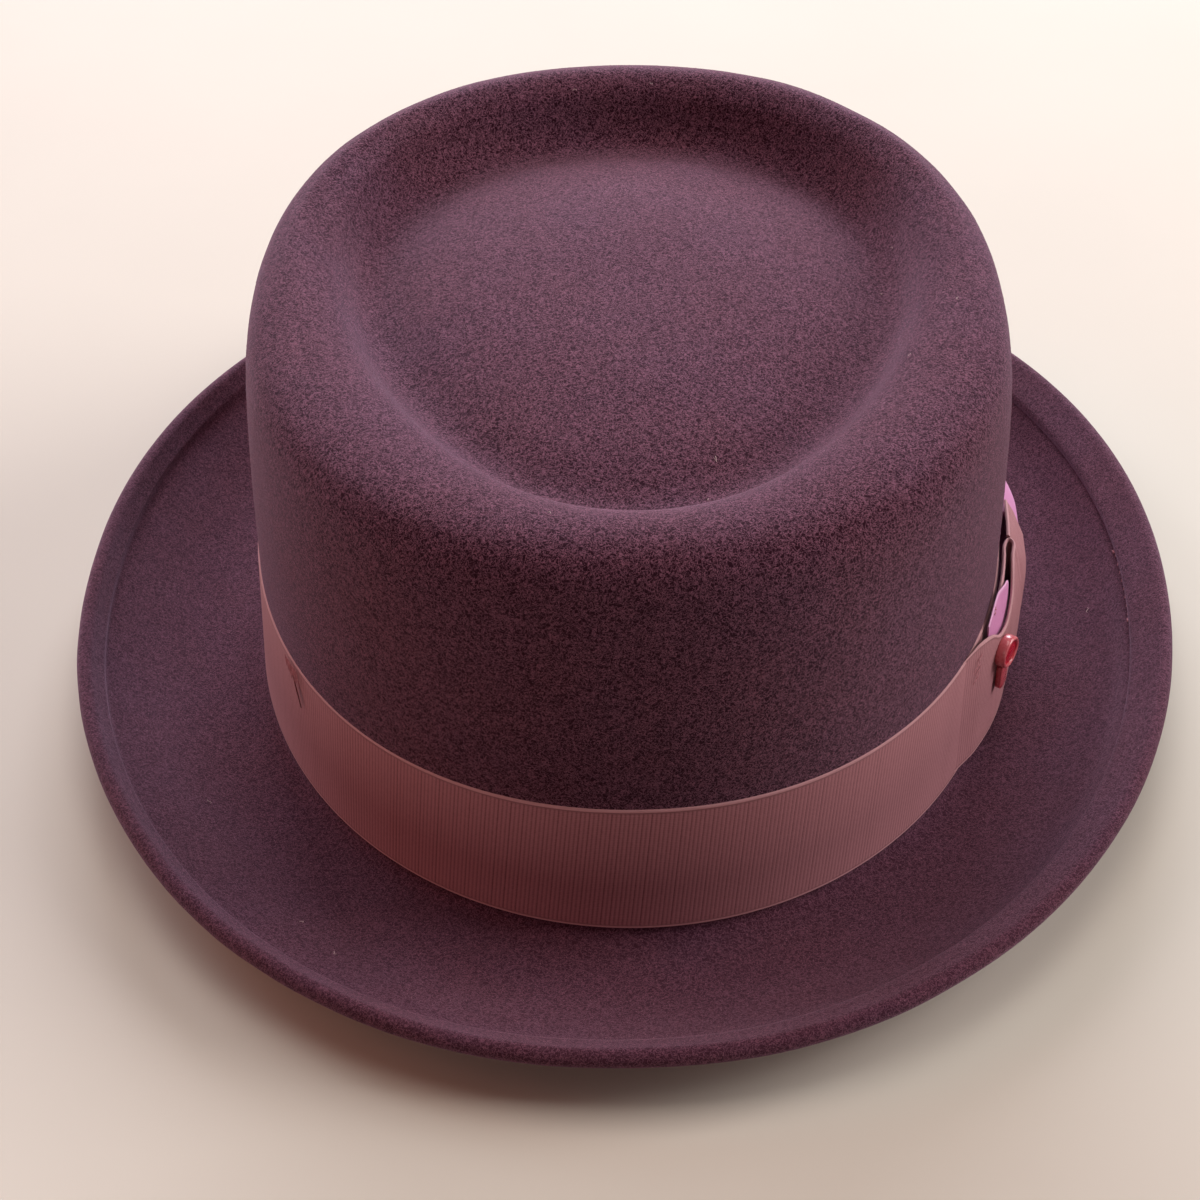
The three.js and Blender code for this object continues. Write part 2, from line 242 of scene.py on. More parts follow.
def wall_points(angles, heights, out):
    """Points off the outside of the wall, a distance `out` along its level normal."""
    share = (heights - WALL_FOOT["z"]) / (WALL_TOP["z"] - WALL_FOOT["z"])
    row = {key: WALL_FOOT[key] + (WALL_TOP[key] - WALL_FOOT[key]) * share for key in WALL_FOOT}
    step = 0.01  # radians to either side, for the direction along the oval
    along = oval_ring(row, angles + step) - oval_ring(row, angles - step)
    outward = np.stack([along[..., 1], -along[..., 0], np.zeros_like(along[..., 0])], axis=-1)
    outward /= np.linalg.norm(outward, axis=-1, keepdims=True)
    return oval_ring(row, angles) + outward * np.expand_dims(out, -1)


def length_round(ring):
    """The length of a closed ring of points."""
    return float(np.linalg.norm(np.roll(ring, -1, axis=0) - ring, axis=-1).sum())


foot_ring = wall_points(np.linspace(0, 2 * np.pi, 720, endpoint=False), WALL_FOOT["z"], 0.0)
print("the wall is", round(length_round(foot_ring) / MM), "mm round at its foot")

# %% [markdown]
# ### Curves and meshes
#
# Tables say where the surface of the hat lies at a few places, and a smooth curve fills in the
# rest. Blender's curve objects could do it, but their handles would have to be worked out first. A
# Catmull-Rom curve needs none and passes through every point of the table. The grids of points
# that come out of it are joined into rings of quads.

# %% Smooth curves
def smooth_curve(points, at):
    """Places and directions on the centripetal Catmull-Rom curve that passes points[k] at k."""
    tiny = 1e-9  # two points that fall together would otherwise divide by nothing
    ends = np.concatenate([2 * points[:1] - points[1:2], points, 2 * points[-1:] - points[-2:-1]])
    k = np.clip(np.floor(at).astype(int), 0, len(points) - 2)
    w = (at - k).reshape(-1, *[1] * (points.ndim - 1))
    p = [ends[k + i] for i in range(4)]
    steps = [np.sqrt(np.maximum(np.linalg.norm(b - a, axis=-1, keepdims=True), tiny))
             for a, b in zip(p, p[1:])]
    d0, d1, d2 = steps
    leave = ((p[1] - p[0]) / d0 - (p[2] - p[0]) / (d0 + d1) + (p[2] - p[1]) / d1) * d1
    arrive = ((p[2] - p[1]) / d1 - (p[3] - p[1]) / (d1 + d2) + (p[3] - p[2]) / d2) * d1
    cubic = 2 * p[1] - 2 * p[2] + leave + arrive
    square = -3 * p[1] + 3 * p[2] - 2 * leave - arrive
    place = ((cubic * w + square) * w + leave) * w + p[1]
    direction = (3 * cubic * w + 2 * square) * w + leave
    return place, direction


bend = np.array([[0.0, 0.0], [1.0, 0.0], [1.0, 1.0]])
print("halfway to a corner the curve is at", smooth_curve(bend, np.array([0.5]))[0].round(3).tolist())

# %% Meshes from rings
def ring_faces(count, size, joined):
    """Quads between `count` rings of `size` points. `joined` ties the last ring to the first."""
    rows = np.arange(count if joined else count - 1)[:, None] * size
    next_rows = (rows + size) % (count * size)
    column = np.arange(size)[None, :]
    next_column = (column + 1) % size
    return np.stack([rows + column, next_rows + column, next_rows + next_column, rows + next_column],
                    axis=-1).reshape(-1, 4)


def make_piece(name, vertices, faces, material, slot, nodes=()):
    """A smooth-shaded mesh object that rides on the hat and stands for some CAD nodes."""
    mesh = bpy.data.meshes.new(name)
    mesh.from_pydata(np.asarray(vertices).tolist(), [], [list(f) for f in faces])
    mesh.validate()
    mesh.shade_smooth()
    mesh.materials.append(material)
    piece = bpy.data.objects.new(name, mesh)
    bpy.context.scene.collection.objects.link(piece)
    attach(piece, "root")
    if nodes:
        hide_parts(*nodes)
    triangles = sum(len(f) - 2 for f in faces)
    print(f"{name}: {len(mesh.vertices)} vertices, {triangles} triangles")
    return piece


def mark_points(piece, attribute, values):
    """Gives each point of a piece a number from 0 to 1 that its material can read."""
    shares = np.clip(np.asarray(values, float), 0, 1).astype(np.float32)
    piece.data.attributes.new(attribute, "FLOAT", "POINT").data.foreach_set("value", shares.ravel())


print("two rings of three points give", len(ring_faces(2, 3, False)), "quads")

# %% Threads
ASKEW = (0.31, 0.17, 0.93)  # a direction that no thread runs along


def tube(points, radius, sides=5):
    """Vertices and faces of a closed thread along some points, thinner at both ends."""
    points = np.asarray(points, float)
    along = np.gradient(points, axis=0)
    along /= np.linalg.norm(along, axis=1, keepdims=True)
    across = np.cross(along, ASKEW)
    across /= np.linalg.norm(across, axis=1, keepdims=True)
    over = np.cross(along, across)
    turns = np.linspace(0, 2 * np.pi, sides, endpoint=False)[None, :, None]
    thin = np.minimum(1.0, 0.45 + 0.55 * np.sin(np.linspace(0, np.pi, len(points))) * 2)
    ring = np.cos(turns) * across[:, None] + np.sin(turns) * over[:, None]
    body = points[:, None] + radius * thin[:, None, None] * ring
    vertices = np.concatenate([body.reshape(-1, 3), points[:1], points[-1:]])
    start, end = len(vertices) - 2, len(vertices) - 1
    last = (len(points) - 1) * sides
    faces = ring_faces(len(points), sides, False)[:, ::-1].tolist()
    faces += [(start, (j + 1) % sides, j) for j in range(sides)]
    faces += [(end, last + j, last + (j + 1) % sides) for j in range(sides)]
    return vertices, faces


def join_parts(parts):
    """Vertices and faces of several shapes as one list of each."""
    vertices, faces, start = [], [], 0
    for some, theirs in parts:
        vertices.append(some)
        faces += [[start + i for i in face] for face in theirs]
        start += len(some)
    return np.concatenate(vertices), faces


print("a thread through three points has", len(tube([(0, 0, 0), (1, 0, 0), (2, 0, 0)], 0.1)[1]), "faces")

# %% [markdown]
# ## The felt body
#
# A felt hat has no seams: tip, rim, wall and brim are one sheet, about 2 mm thick. Turning a
# profile round an axis would make it round, and a subdivided cage would pull its corners in, so
# each ring of the sheet is an oval from a table and, at every angle, one smooth curve runs
# through all of them. The under face lies the felt's thickness inside along the normals.
#
# Blocked felt isn't perfectly even, so the sheet gets a slow waviness of a few tenths of a
# millimetre away from the ribbon.

# %% Rings of the crown
# `steps` is how many rows of the fine mesh lead to a ring from the one before it.
GROOVE_Z = CROWN_HEIGHT - WELL_DEPTH
WELL = dict(right=0.0008, turn=0.6, oval=2.05, egg=0.165, steps=4)
RIM = dict(right=0.0004, turn=0.8, steps=5)
BREAK = {**WALL_FOOT, "width": 0.0868, "length": 0.1033, "z": 0.0027}
CROWN_RINGS = [
    dict(at="middle of the tip", width=0.0000, length=0.0000, z=GROOVE_Z + TIP_RISE, back=0.0018, **WELL),
    dict(at="tip", width=0.0230, length=0.0300, z=GROOVE_Z + 0.0065, back=0.0018, **WELL),
    dict(at="edge of the tip", width=0.0430, length=0.0560, z=GROOVE_Z + 0.0031, back=0.0016, **WELL),
    dict(at="groove", width=0.0545, length=0.0721, z=GROOVE_Z, back=0.0029, **WELL),
    dict(at="foot of the well", width=0.0590, length=0.0769, z=GROOVE_Z + 0.0022, back=0.0017, **WELL),
    dict(at="side of the well", width=0.0620, length=0.0799, z=GROOVE_Z + 0.0064, back=0.0009, **WELL),
    dict(at="inside of the rim", width=0.0648, length=0.0824, z=GROOVE_Z + 0.0102, back=0.0000, **WELL),
    dict(at="slope of the rim", width=0.0686, length=0.0856, z=CROWN_HEIGHT - 0.0011, back=-0.0006,
         oval=2.08, egg=0.15, **RIM),
    dict(at="top of the rim", width=0.0732, length=0.0902, z=CROWN_HEIGHT, back=-0.0018,
         oval=2.12, egg=0.085, **RIM),
    dict(at="outside of the rim", width=0.0766, length=0.0946, z=CROWN_HEIGHT - 0.0008, back=-0.0026,
         oval=2.18, egg=0.02, **RIM),
    dict(at="shoulder", width=0.0796, length=0.0982, z=CROWN_HEIGHT - 0.0029, back=-0.0026,
         oval=2.2, egg=0, **RIM),
    dict(at="top of the wall", **WALL_TOP, steps=5),
    dict(at="foot of the wall", **WALL_FOOT, steps=14),
    dict(at="break", **BREAK, steps=3),
]
print(len(CROWN_RINGS), "rings from the middle of the tip to the break")

# %% Rings of the brim
BEND_WIDTH = 0.0022  # from the break to the flat ring that the hat stands on
REST_RING_WIDTH = 0.0065
BRIM_EDGE = dict(width=0.1249, length=0.1465, right=0.0, back=0.0, turn=-3.0, oval=2.08)
BRIM_RISE = dict(side=0.0152, front=0.0114, back=0.0104)
BRIM_CURL = 1.8  # 1 is a straight slope, more keeps the brim flat and lifts its edge
WELT_START = 0.82  # share of the brim where the folded edge begins
WELT_SHIFT = -0.0017  # moves the start of the fold to the wearer's right, where it is narrower
WELT_THICKNESS = 0.0020
# Share of the way across the brim, and how far each ring is moved to the wearer's left.
BRIM_SHARES = [(0.22, 0), (0.42, 0), (0.62, 0), (WELT_START - 0.03, WELT_SHIFT),
               (WELT_START + 0.05, WELT_SHIFT), (0.94, WELT_SHIFT / 2), (1.0, 0)]
WELT_RING = len(CROWN_RINGS) + 6  # the first ring on the fold


def widened(row, extra, **changes):
    """A ring like another, but larger all round."""
    return {**row, "width": row["width"] + extra, "length": row["length"] + extra, **changes}


def brim_rings():
    """The flat ring that the hat stands on, then the brim turning up to its edge."""
    start = widened(BREAK, BEND_WIDTH, z=FELT_THICKNESS, steps=2)
    flat = widened(start, REST_RING_WIDTH)
    rings = [start, flat]
    for share, shift in BRIM_SHARES:
        ring = {key: flat[key] + (BRIM_EDGE[key] - flat[key]) * share for key in BRIM_EDGE}
        ring["right"] += shift
        rings.append({**ring, "z": FELT_THICKNESS, "rise": share ** BRIM_CURL, "steps": 4})
    return rings


def edge_rise(angles):
    """How far the edge rises at an angle: most at the sides, less at the front and back."""
    lengthwise = np.sin(angles) ** 2
    end = np.where(np.sin(angles) < 0, BRIM_RISE["front"], BRIM_RISE["back"])
    return BRIM_RISE["side"] + (end - BRIM_RISE["side"]) * lengthwise


ANGLES = np.linspace(0, 2 * np.pi, 320, endpoint=False)
rings = CROWN_RINGS + brim_rings()
stations = np.array([oval_ring(ring, ANGLES) for ring in rings])
for ring, points in zip(rings, stations):
    points[:, 2] += ring.get("rise", 0) * edge_rise(ANGLES)
print(len(rings), "rings from the tip to the edge of the brim")

# %% The felt's two faces
# Across the cut edge of the fold: places from one ring to the next, and the height of the surface
# at each. The small dip is the line that the pressed fold leaves in the felt under it. That line
# shows on the wearer's left, and on the right the fold blends into the brim.
FOLD_PLACES = [0.12, 0.24, 0.34, 0.40, 0.44, 0.48, 0.54, 0.62, 0.72, 0.84, 1.0]
FOLD_CREASED = [0.0, -0.00010, -0.00022, -0.0002, 0.0001, 0.0006, 0.0011, 0.0015, 0.0018, 0.00195, 0.0020]
FOLD_SOFT = [0.00002, 0.00012, 0.00026, 0.0004, 0.00052, 0.00066, 0.0009, 0.0012, 0.00152, 0.00184, 0.0020]


def felt_places():
    """Where along the curves the rings of the fine mesh lie, and the fold's two heights at each."""
    places, creased, soft = [], [], []
    for k, ring in enumerate(rings[1:], 1):
        if k == WELT_RING:
            places += [k - 1 + share for share in FOLD_PLACES]
            creased += FOLD_CREASED
            soft += FOLD_SOFT
        else:
            places += [k - 1 + (m + 1) / ring["steps"] for m in range(ring["steps"])]
            level = [WELT_THICKNESS if k > WELT_RING else 0.0] * ring["steps"]
            creased += level
            soft += level
    return np.array(places), np.array(creased)[:, None], np.array(soft)[:, None]


# The waviness begins above the ribbon, and beyond an oval on the brim round its foot.
EVEN_BELOW, FADE_UP = 0.041, 0.02
EVEN_OVAL, FADE_OUT = (0.097, 0.114), 0.08
SLOW_WAVES, QUICK_WAVES = (0.034, 0.00035), (0.011, 0.00010)  # length and height of each


def unevenness(points):
    """A slow waviness along the normal, none of it where the ribbon lies."""
    from_ribbon = np.clip((points[..., 2] - EVEN_BELOW) / FADE_UP, 0, 1)
    radius = np.hypot(points[..., 0] / EVEN_OVAL[0], points[..., 1] / EVEN_OVAL[1])
    share = np.maximum(from_ribbon, np.clip((radius - 1) / FADE_OUT, 0, 1))
    slow, quick = (height * np.array([noise.noise(Vector(p) / length) for p in points.reshape(-1, 3)])
                   for length, height in (SLOW_WAVES, QUICK_WAVES))
    return (share.ravel() * (slow + quick)).reshape(points.shape[:2])


places, creased_heights, soft_heights = felt_places()
crease = np.clip(0.45 + 1.1 * np.cos(ANGLES), 0, 1)[None, :]  # 1 on the wearer's left, 0 on the right
fold_heights = creased_heights * crease + soft_heights * (1 - crease)
sheet, along = smooth_curve(stations, places)
around = np.roll(sheet, -1, axis=1) - np.roll(sheet, 1, axis=1)
normals = np.cross(along, around)
normals /= np.linalg.norm(normals, axis=-1, keepdims=True)
sheet = sheet + normals * unevenness(sheet)[..., None]
upper = sheet + normals * fold_heights[..., None]
under = sheet - normals * FELT_THICKNESS
under[..., 2] = np.maximum(under[..., 2], 0)  # nothing goes below the plane that the hat stands on

EDGE_RADIUS = (FELT_THICKNESS + WELT_THICKNESS) / 2
edge_turns = np.radians(np.arange(1, 12) * 15.0)[:, None, None]  # a half round in steps of 15 degrees
along_edge = along[-1] / np.linalg.norm(along[-1], axis=-1, keepdims=True)
round_edge = (sheet[-1] + normals[-1] * (WELT_THICKNESS - EDGE_RADIUS + EDGE_RADIUS * np.cos(edge_turns))
              + along_edge * EDGE_RADIUS * np.sin(edge_turns))
print("the felt reaches from z, mm:", round(under[..., 2].min() / MM, 2), "to",
      round(upper[..., 2].max() / MM, 2))

# %% [markdown]
# ### The look of wool felt
#
# Wool felt is a mat of fine crimped fibres, dyed right through and brushed to a short nap. Seen
# close, pale curling fibres lie over dark gaps, and seen along the surface the fibres that stand
# up catch light as a soft bloom. Millions of real fibres would be far too heavy. A plain noise
# gives blots instead of hairs, so the curls are drawn where a noise passes its middle value, which
# gives thin winding lines. The bloom is the shader's sheen.
#
# The index of wool, about 1.55, is close to the shader's own 1.5. A mat of crimped fibres scatters
# nearly all light, so the felt is rough, near 1, with a weak highlight.

# %% Wool felt
def wool_felt():
    """Dyed wool felt: matt, mottled in patches 28 mm across, with a short curly nap."""
    material, tree = start_material("wool_felt_brushed")
    place = add_node(tree, "ShaderNodeTexCoord", {}, {}).outputs["Object"]

    def curls(spacing, offset):
        """1 along thin winding lines about `spacing` metres apart, 0 between them."""
        moved = add_node(tree, "ShaderNodeVectorMath", {"operation": "ADD"}, {0: place, 1: offset})
        field = add_node(tree, "ShaderNodeTexNoise", {}, {
            "Vector": moved.outputs[0], "Scale": 1 / spacing, "Detail": 2.0, "Roughness": 0.6,
            "Distortion": 0.8})
        off = add_node(tree, "ShaderNodeMath", {"operation": "SUBTRACT"}, {0: field.outputs["Fac"], 1: 0.5})
        size = add_node(tree, "ShaderNodeMath", {"operation": "ABSOLUTE"}, {0: off.outputs[0]})
        return add_node(tree, "ShaderNodeMapRange", {}, {
            "Value": size.outputs[0], "From Min": 0.0, "From Max": 0.05, "To Min": 1.0, "To Max": 0.0,
        }).outputs[0]

    # Real fibres are about 0.03 mm thick. They are drawn several times coarser, so that they show.
    fine = curls(0.75 * MM, (0.0, 0.0, 0.0))
    coarse = curls(1.4 * MM, (0.31, 0.17, 0.05))
    nap = add_node(tree, "ShaderNodeMath", {"operation": "MULTIPLY_ADD", "use_clamp": True}, {
        0: coarse, 1: 0.4, 2: fine})
    # The brim is pressed smoother than the crown, so its curls stand out less from their mean.
    height = add_node(tree, "ShaderNodeSeparateXYZ", {}, {"Vector": place}).outputs["Z"]
    smooth = add_node(tree, "ShaderNodeMapRange", {}, {
        "Value": height, "From Min": 18 * MM, "From Max": 34 * MM, "To Min": 0.4, "To Max": 0.0})
    nap = add_node(tree, "ShaderNodeMix", {"data_type": "FLOAT"}, {
        "Factor": smooth.outputs[0], "A": nap.outputs[0], "B": 0.30})
    mottle = add_node(tree, "ShaderNodeTexNoise", {}, {
        "Vector": place, "Scale": 1 / (28 * MM), "Detail": 5.0, "Roughness": 0.55})
    depth = add_node(tree, "ShaderNodeMix", {"data_type": "RGBA"}, {
        "Factor": mottle.outputs["Fac"], MIX_A: linear("#270611"), MIX_B: linear("#210618")})
    pale = add_node(tree, "ShaderNodeMix", {"data_type": "RGBA"}, {
        "Factor": mottle.outputs["Fac"], MIX_A: linear("#7a4a58"), MIX_B: linear("#714a60")})
    colour = add_node(tree, "ShaderNodeMix", {"data_type": "RGBA"}, {
        "Factor": nap.outputs[0], MIX_A: depth.outputs[MIX_RESULT], MIX_B: pale.outputs[MIX_RESULT]})
    bump = add_node(tree, "ShaderNodeBump", {}, {
        "Height": nap.outputs[0], "Strength": 0.55, "Distance": 0.12 * MM})
    rough = add_node(tree, "ShaderNodeMapRange", {}, {
        "Value": nap.outputs[0], "To Min": 1.0, "To Max": 0.86})
    shader = add_node(tree, "ShaderNodeBsdfPrincipled", {}, {
        "Base Color": colour.outputs[MIX_RESULT], "Roughness": rough.outputs[0],
        "Normal": bump.outputs["Normal"], "Specular IOR Level": 0.15,
        "Sheen Weight": 0.5, "Sheen Roughness": 0.42, "Sheen Tint": linear("#bb98b0")})
    add_node(tree, "ShaderNodeOutputMaterial", {}, {"Surface": shader.outputs["BSDF"]})
    return material


FELT = wool_felt()
print("the felt's material has", len(FELT.node_tree.nodes), "nodes")

# %% Felt body
def felt_body():
    """Both faces and the round edge as one closed skin, from the tip out and back to the tip."""
    tip = smooth_curve(stations, np.zeros(1))[0][0, 0]
    shell = np.concatenate([upper, round_edge, under[::-1]])
    count, size = shell.shape[:2]
    vertices = np.concatenate([shell.reshape(-1, 3), [tip, tip - (0, 0, FELT_THICKNESS)]])
    top, bottom = count * size, count * size + 1
    near = np.arange(size)
    far = (near + 1) % size
    last = (count - 1) * size
    faces = ring_faces(count, size, False).tolist()
    faces += [(top, a, b) for a, b in zip(near, far)]
    faces += [(bottom, last + b, last + a) for a, b in zip(near, far)]
    return make_piece("felt_hat_body", vertices, faces, FELT, "wool_felt", ["felt_body"])


felt = felt_body()

# %% [markdown]
# ## The ribbons
#
# Grosgrain has fine warp threads over a thick weft, so it shows ribs that run straight across it,
# a little under a millimetre apart, and each edge ends in a plain selvedge, raised like a thin
# cord, with a narrow groove beside it. A bump map could draw all of that, but the ribs are wide
# enough to be real shape, and shape also breaks up the ribbon's outline and its shine. Each
# ribbon is a closed thin strip: a section with its ribs, swept along the wall.

# %% Ribbon sections
RIB_SPACING = 0.91 * MM
RIB_HEIGHT = 0.11 * MM
STEPS_PER_RIB = 4
SELVEDGE = 0.55 * MM
GROOVE_AWAY, GROOVE_WIDTH = 0.2 * MM, 0.18 * MM
RIBS_RISE = 0.5 * MM  # how far from the selvedge the ribs reach their full height
NEAR_EDGE = np.array([0.0, 0.12, 0.28, 0.44, 0.6, 1.1]) * MM
MIDDLE_FROM, MIDDLE_POINTS = 0.003, 5


def across_ribbon(width):
    """Distances from the upper edge at which a ribbon's section has points."""
    middle = np.linspace(MIDDLE_FROM, width - MIDDLE_FROM, MIDDLE_POINTS)
    return np.concatenate([NEAR_EDGE, middle, width - NEAR_EDGE[::-1]])


def rib_relief(run, down, width):
    """Height of the weave, 1 on a rib, at a distance along the ribbon and from its upper edge."""
    edge = np.minimum(down, width - down)
    ribs = np.abs(np.sin(np.pi * run / RIB_SPACING)) ** 0.7  # a power under 1 makes them rounder
    cord = np.sqrt(np.clip(1 - ((edge - SELVEDGE / 2) / (SELVEDGE / 2)) ** 2, 0, 1))
    groove = np.exp(-((edge - SELVEDGE - GROOVE_AWAY) / GROOVE_WIDTH) ** 2)
    ribbed = np.clip((edge - SELVEDGE) / RIBS_RISE, 0, 1)
    return np.where(edge < SELVEDGE, 0.85 * cord + 0.15 * ribs * cord, ribs * ribbed - 0.5 * groove)


print("ribs every", RIB_SPACING / MM, "mm, raised", RIB_HEIGHT / MM, "mm")

# %% Ribbons as closed strips
REAR_RELIEF = 0.6  # the ribs press through to the back of the ribbon this much
EDGE_ROUNDING = 0.2
FEATHER_EDGE = 0.06  # share of the thickness that is left where a ribbon thins away


def run_along(middle, joined):
    """Distance run at each row. A ribbon joined to itself gets a whole number of ribs."""
    run = np.concatenate([[0], np.cumsum(np.linalg.norm(np.diff(middle, axis=0), axis=-1))])
    if joined:
        whole = run[-1] + np.linalg.norm(middle[0] - middle[-1])
        run = run * round(whole / RIB_SPACING) * RIB_SPACING / whole
    return run


def strip_sections(face, out, relief, thick):
    """At every row, the points round the ribbon: upper edge, front, lower edge and rear."""
    height = RIB_HEIGHT * relief
    front = face + out * (thick + height)
    rear = face - out * height * REAR_RELIEF
    # Half a thickness beyond each edge, so that the selvedge is round.
    half, up = thick / 2, (0, 0, 1)
    top = (front[:, :1] + rear[:, :1]) / 2 + half * up
    foot = (front[:, -1:] + rear[:, -1:]) / 2 - half * up
    top_front = (top + front[:, :1]) / 2 + half * EDGE_ROUNDING * (out[:, :1] + up)
    foot_front = (foot + front[:, -1:]) / 2 + half * EDGE_ROUNDING * (out[:, -1:] - up)
    return np.concatenate([top, top_front, front, foot_front, foot, rear[:, ::-1]], axis=1)


def round_section(values):
    """Values at the points of a face, repeated for the points that `strip_sections` gives."""
    first, last = values[:, :1], values[:, -1:]
    return np.concatenate([first, first, values, last, last, values[:, ::-1]], axis=1)


def woven_strip(name, levels, face, node, ribbon, joined=False, feather=0):
    """A closed ribbon on a grid of points. Its last `feather` rows thin away to an edge."""
    along = np.gradient(face, axis=0)
    if joined:
        along = np.roll(face, -1, axis=0) - np.roll(face, 1, axis=0)
    out = np.cross(-np.gradient(face, axis=1), along)
    out /= np.linalg.norm(out, axis=-1, keepdims=True)
    down, width = levels[0] - levels, levels[0] - levels[-1]
    relief = np.zeros(face.shape[:2])
    if ribbon["ribbed"]:
        run = run_along(face[:, face.shape[1] // 2], joined)
        relief = rib_relief(run[:, None], down[None, :], width)
    thin = np.ones((len(face), 1, 1))
    if feather:
        thin[-feather:, 0, 0] = np.linspace(1.0, FEATHER_EDGE, feather)
    section = strip_sections(face, out, relief[..., None] * thin, ribbon["thickness"] * thin)
    count, size = section.shape[:2]
    faces = ring_faces(count, size, joined)[:, ::-1].tolist()
    if not joined:
        faces += [list(range(size)), list(range(count * size - 1, (count - 1) * size - 1, -1))]
    piece = make_piece(name, section.reshape(-1, 3), faces, ribbon["material"], ribbon["slot"], [node])
    piece.data.set_sharp_from_angle(angle=math.radians(60))
    # How far into the selvedge a point lies; the material paints it paler there, a painted highlight.
    selvedge = np.clip(1.3 - np.minimum(down, width - down) / SELVEDGE, 0, 1)
    # The rib height: the material reads it for roughness and bump, and to paint shade in the hollows and
    # light on the crests.
    mark_points(piece, "crest", round_section(relief))
    mark_points(piece, "selvedge", round_section(np.broadcast_to(selvedge, relief.shape)))
    return piece


print("a ribbon 34 mm wide has points at, mm:", (across_ribbon(0.034) / MM).round(2).tolist())

# %% [markdown]
# ### The look of grosgrain
#
# The band is rayon: the warp lies over the ribs and gives a soft shine along them, and the
# hollows between the ribs fall into shade. That shade is painted into the colour, darker in the
# hollows and paler on the crests, and the selvedge is painted paler as a highlight. A wave texture
# could paint the ribs, but it would drift away from their shape. So the mesh carries how high each
# point is on its rib, and the material reads that to paint the shade in the hollows. Real warp
# threads are about 0.2 mm apart. They are drawn as fine lines every half millimetre or so, because
# they would not show otherwise.
#
# Rayon yarn is smoother than wool. It is less rough on the ribs, where its threads lie side by
# side, than in the hollows. The lilac ribbon is smooth rayon, so it has fine warp lines and no
# ribs.

# %% Grosgrain and lilac ribbon
def ribbon_material(name, hollow, crest, edge, sheen, warp_spacing):
    """Woven rayon in two tones, `hollow` and `crest`: where there are ribs, `hollow` is painted shade
    between them and `crest` painted light on them. `edge` is a painted highlight on the selvedge.
    """
    material, tree = start_material(name)
    place = add_node(tree, "ShaderNodeTexCoord", {}, {}).outputs["Object"]
    height = add_node(tree, "ShaderNodeAttribute", {"attribute_name": "crest"}, {}).outputs["Fac"]
    parts = add_node(tree, "ShaderNodeSeparateXYZ", {}, {"Vector": place})
    warp = add_node(tree, "ShaderNodeMath", {"operation": "MULTIPLY"}, {
        0: parts.outputs["Z"], 1: 2 * math.pi / warp_spacing})
    warp = add_node(tree, "ShaderNodeMath", {"operation": "SINE"}, {0: warp.outputs[0]})
    threads = add_node(tree, "ShaderNodeTexNoise", {}, {
        "Vector": place, "Scale": 1 / (0.6 * MM), "Detail": 2.0})
    level = add_node(tree, "ShaderNodeMath", {"operation": "MULTIPLY_ADD"}, {
        0: warp.outputs[0], 1: 0.10, 2: height})
    level = add_node(tree, "ShaderNodeMath", {"operation": "MULTIPLY_ADD"}, {
        0: threads.outputs["Fac"], 1: 0.5, 2: level.outputs[0]})
    level = add_node(tree, "ShaderNodeMath", {"operation": "SUBTRACT", "use_clamp": True}, {
        0: level.outputs[0], 1: 0.25})
    # Painted shade and light: the hollow colour in the hollows and grooves, the crest colour on the ribs,
    # broken by the warp lines and threads.
    weave_and_rib_shade = add_node(tree, "ShaderNodeMix", {"data_type": "RGBA"}, {
        "Factor": level.outputs[0], MIX_A: linear(hollow), MIX_B: linear(crest)})
    # Painted highlight: the pale edge colour along each selvedge.
    at_edge = add_node(tree, "ShaderNodeAttribute", {"attribute_name": "selvedge"}, {}).outputs["Fac"]
    share = add_node(tree, "ShaderNodeMath", {"operation": "MULTIPLY"}, {0: at_edge, 1: 0.6})
    colour = add_node(tree, "ShaderNodeMix", {"data_type": "RGBA"}, {
        "Factor": share.outputs[0], MIX_A: weave_and_rib_shade.outputs[MIX_RESULT], MIX_B: linear(edge)})
    rough = add_node(tree, "ShaderNodeMapRange", {}, {
        "Value": level.outputs[0], "To Min": 0.75, "To Max": 0.55})
    bump = add_node(tree, "ShaderNodeBump", {}, {
        "Height": level.outputs[0], "Strength": 0.35, "Distance": 0.08 * MM})
    shader = add_node(tree, "ShaderNodeBsdfPrincipled", {}, {
        "Base Color": colour.outputs[MIX_RESULT], "Roughness": rough.outputs[0],
        "Normal": bump.outputs["Normal"], "Specular IOR Level": 0.35,
        "Sheen Weight": 0.32, "Sheen Roughness": 0.5, "Sheen Tint": linear(sheen)})
    add_node(tree, "ShaderNodeOutputMaterial", {}, {"Surface": shader.outputs["BSDF"]})
    return material


# Colours: hollow, crest, selvedge and sheen tint. On the ribbed grosgrain the first three are painted
# shade, painted light and a painted highlight; the lilac has no ribs, so its first two are the tones of its
# threads.
GROSGRAIN = dict(
    material=ribbon_material("rayon_grosgrain", "#69393f", "#a26b72", "#c6979c", "#e6bcc0", 0.5 * MM),
    slot="grosgrain", thickness=0.6 * MM, ribbed=True)
LILAC = dict(
    material=ribbon_material("lilac_rayon_ribbon", "#b8709f", "#dd9ac9", "#e4b6d6", "#eec8e4", 0.6 * MM),
    slot="lilac_ribbon", thickness=0.4 * MM, ribbed=False)
print("ribbon thickness, mm: grosgrain", GROSGRAIN["thickness"] / MM, "lilac", LILAC["thickness"] / MM)

# %% [markdown]
# ### The hat band
#
# The band goes once round the foot of the wall, 0.3 mm off the felt, and is about 34 mm wide.
# Wrapping a flat strip with a modifier would tie its ribs to the felt's own mesh. Here it is
# worked out from the same ovals as the wall, so it lies close to it all round. The ribs lean a few
# degrees, as they do where a ribbon is pulled to fit a wall that tapers.

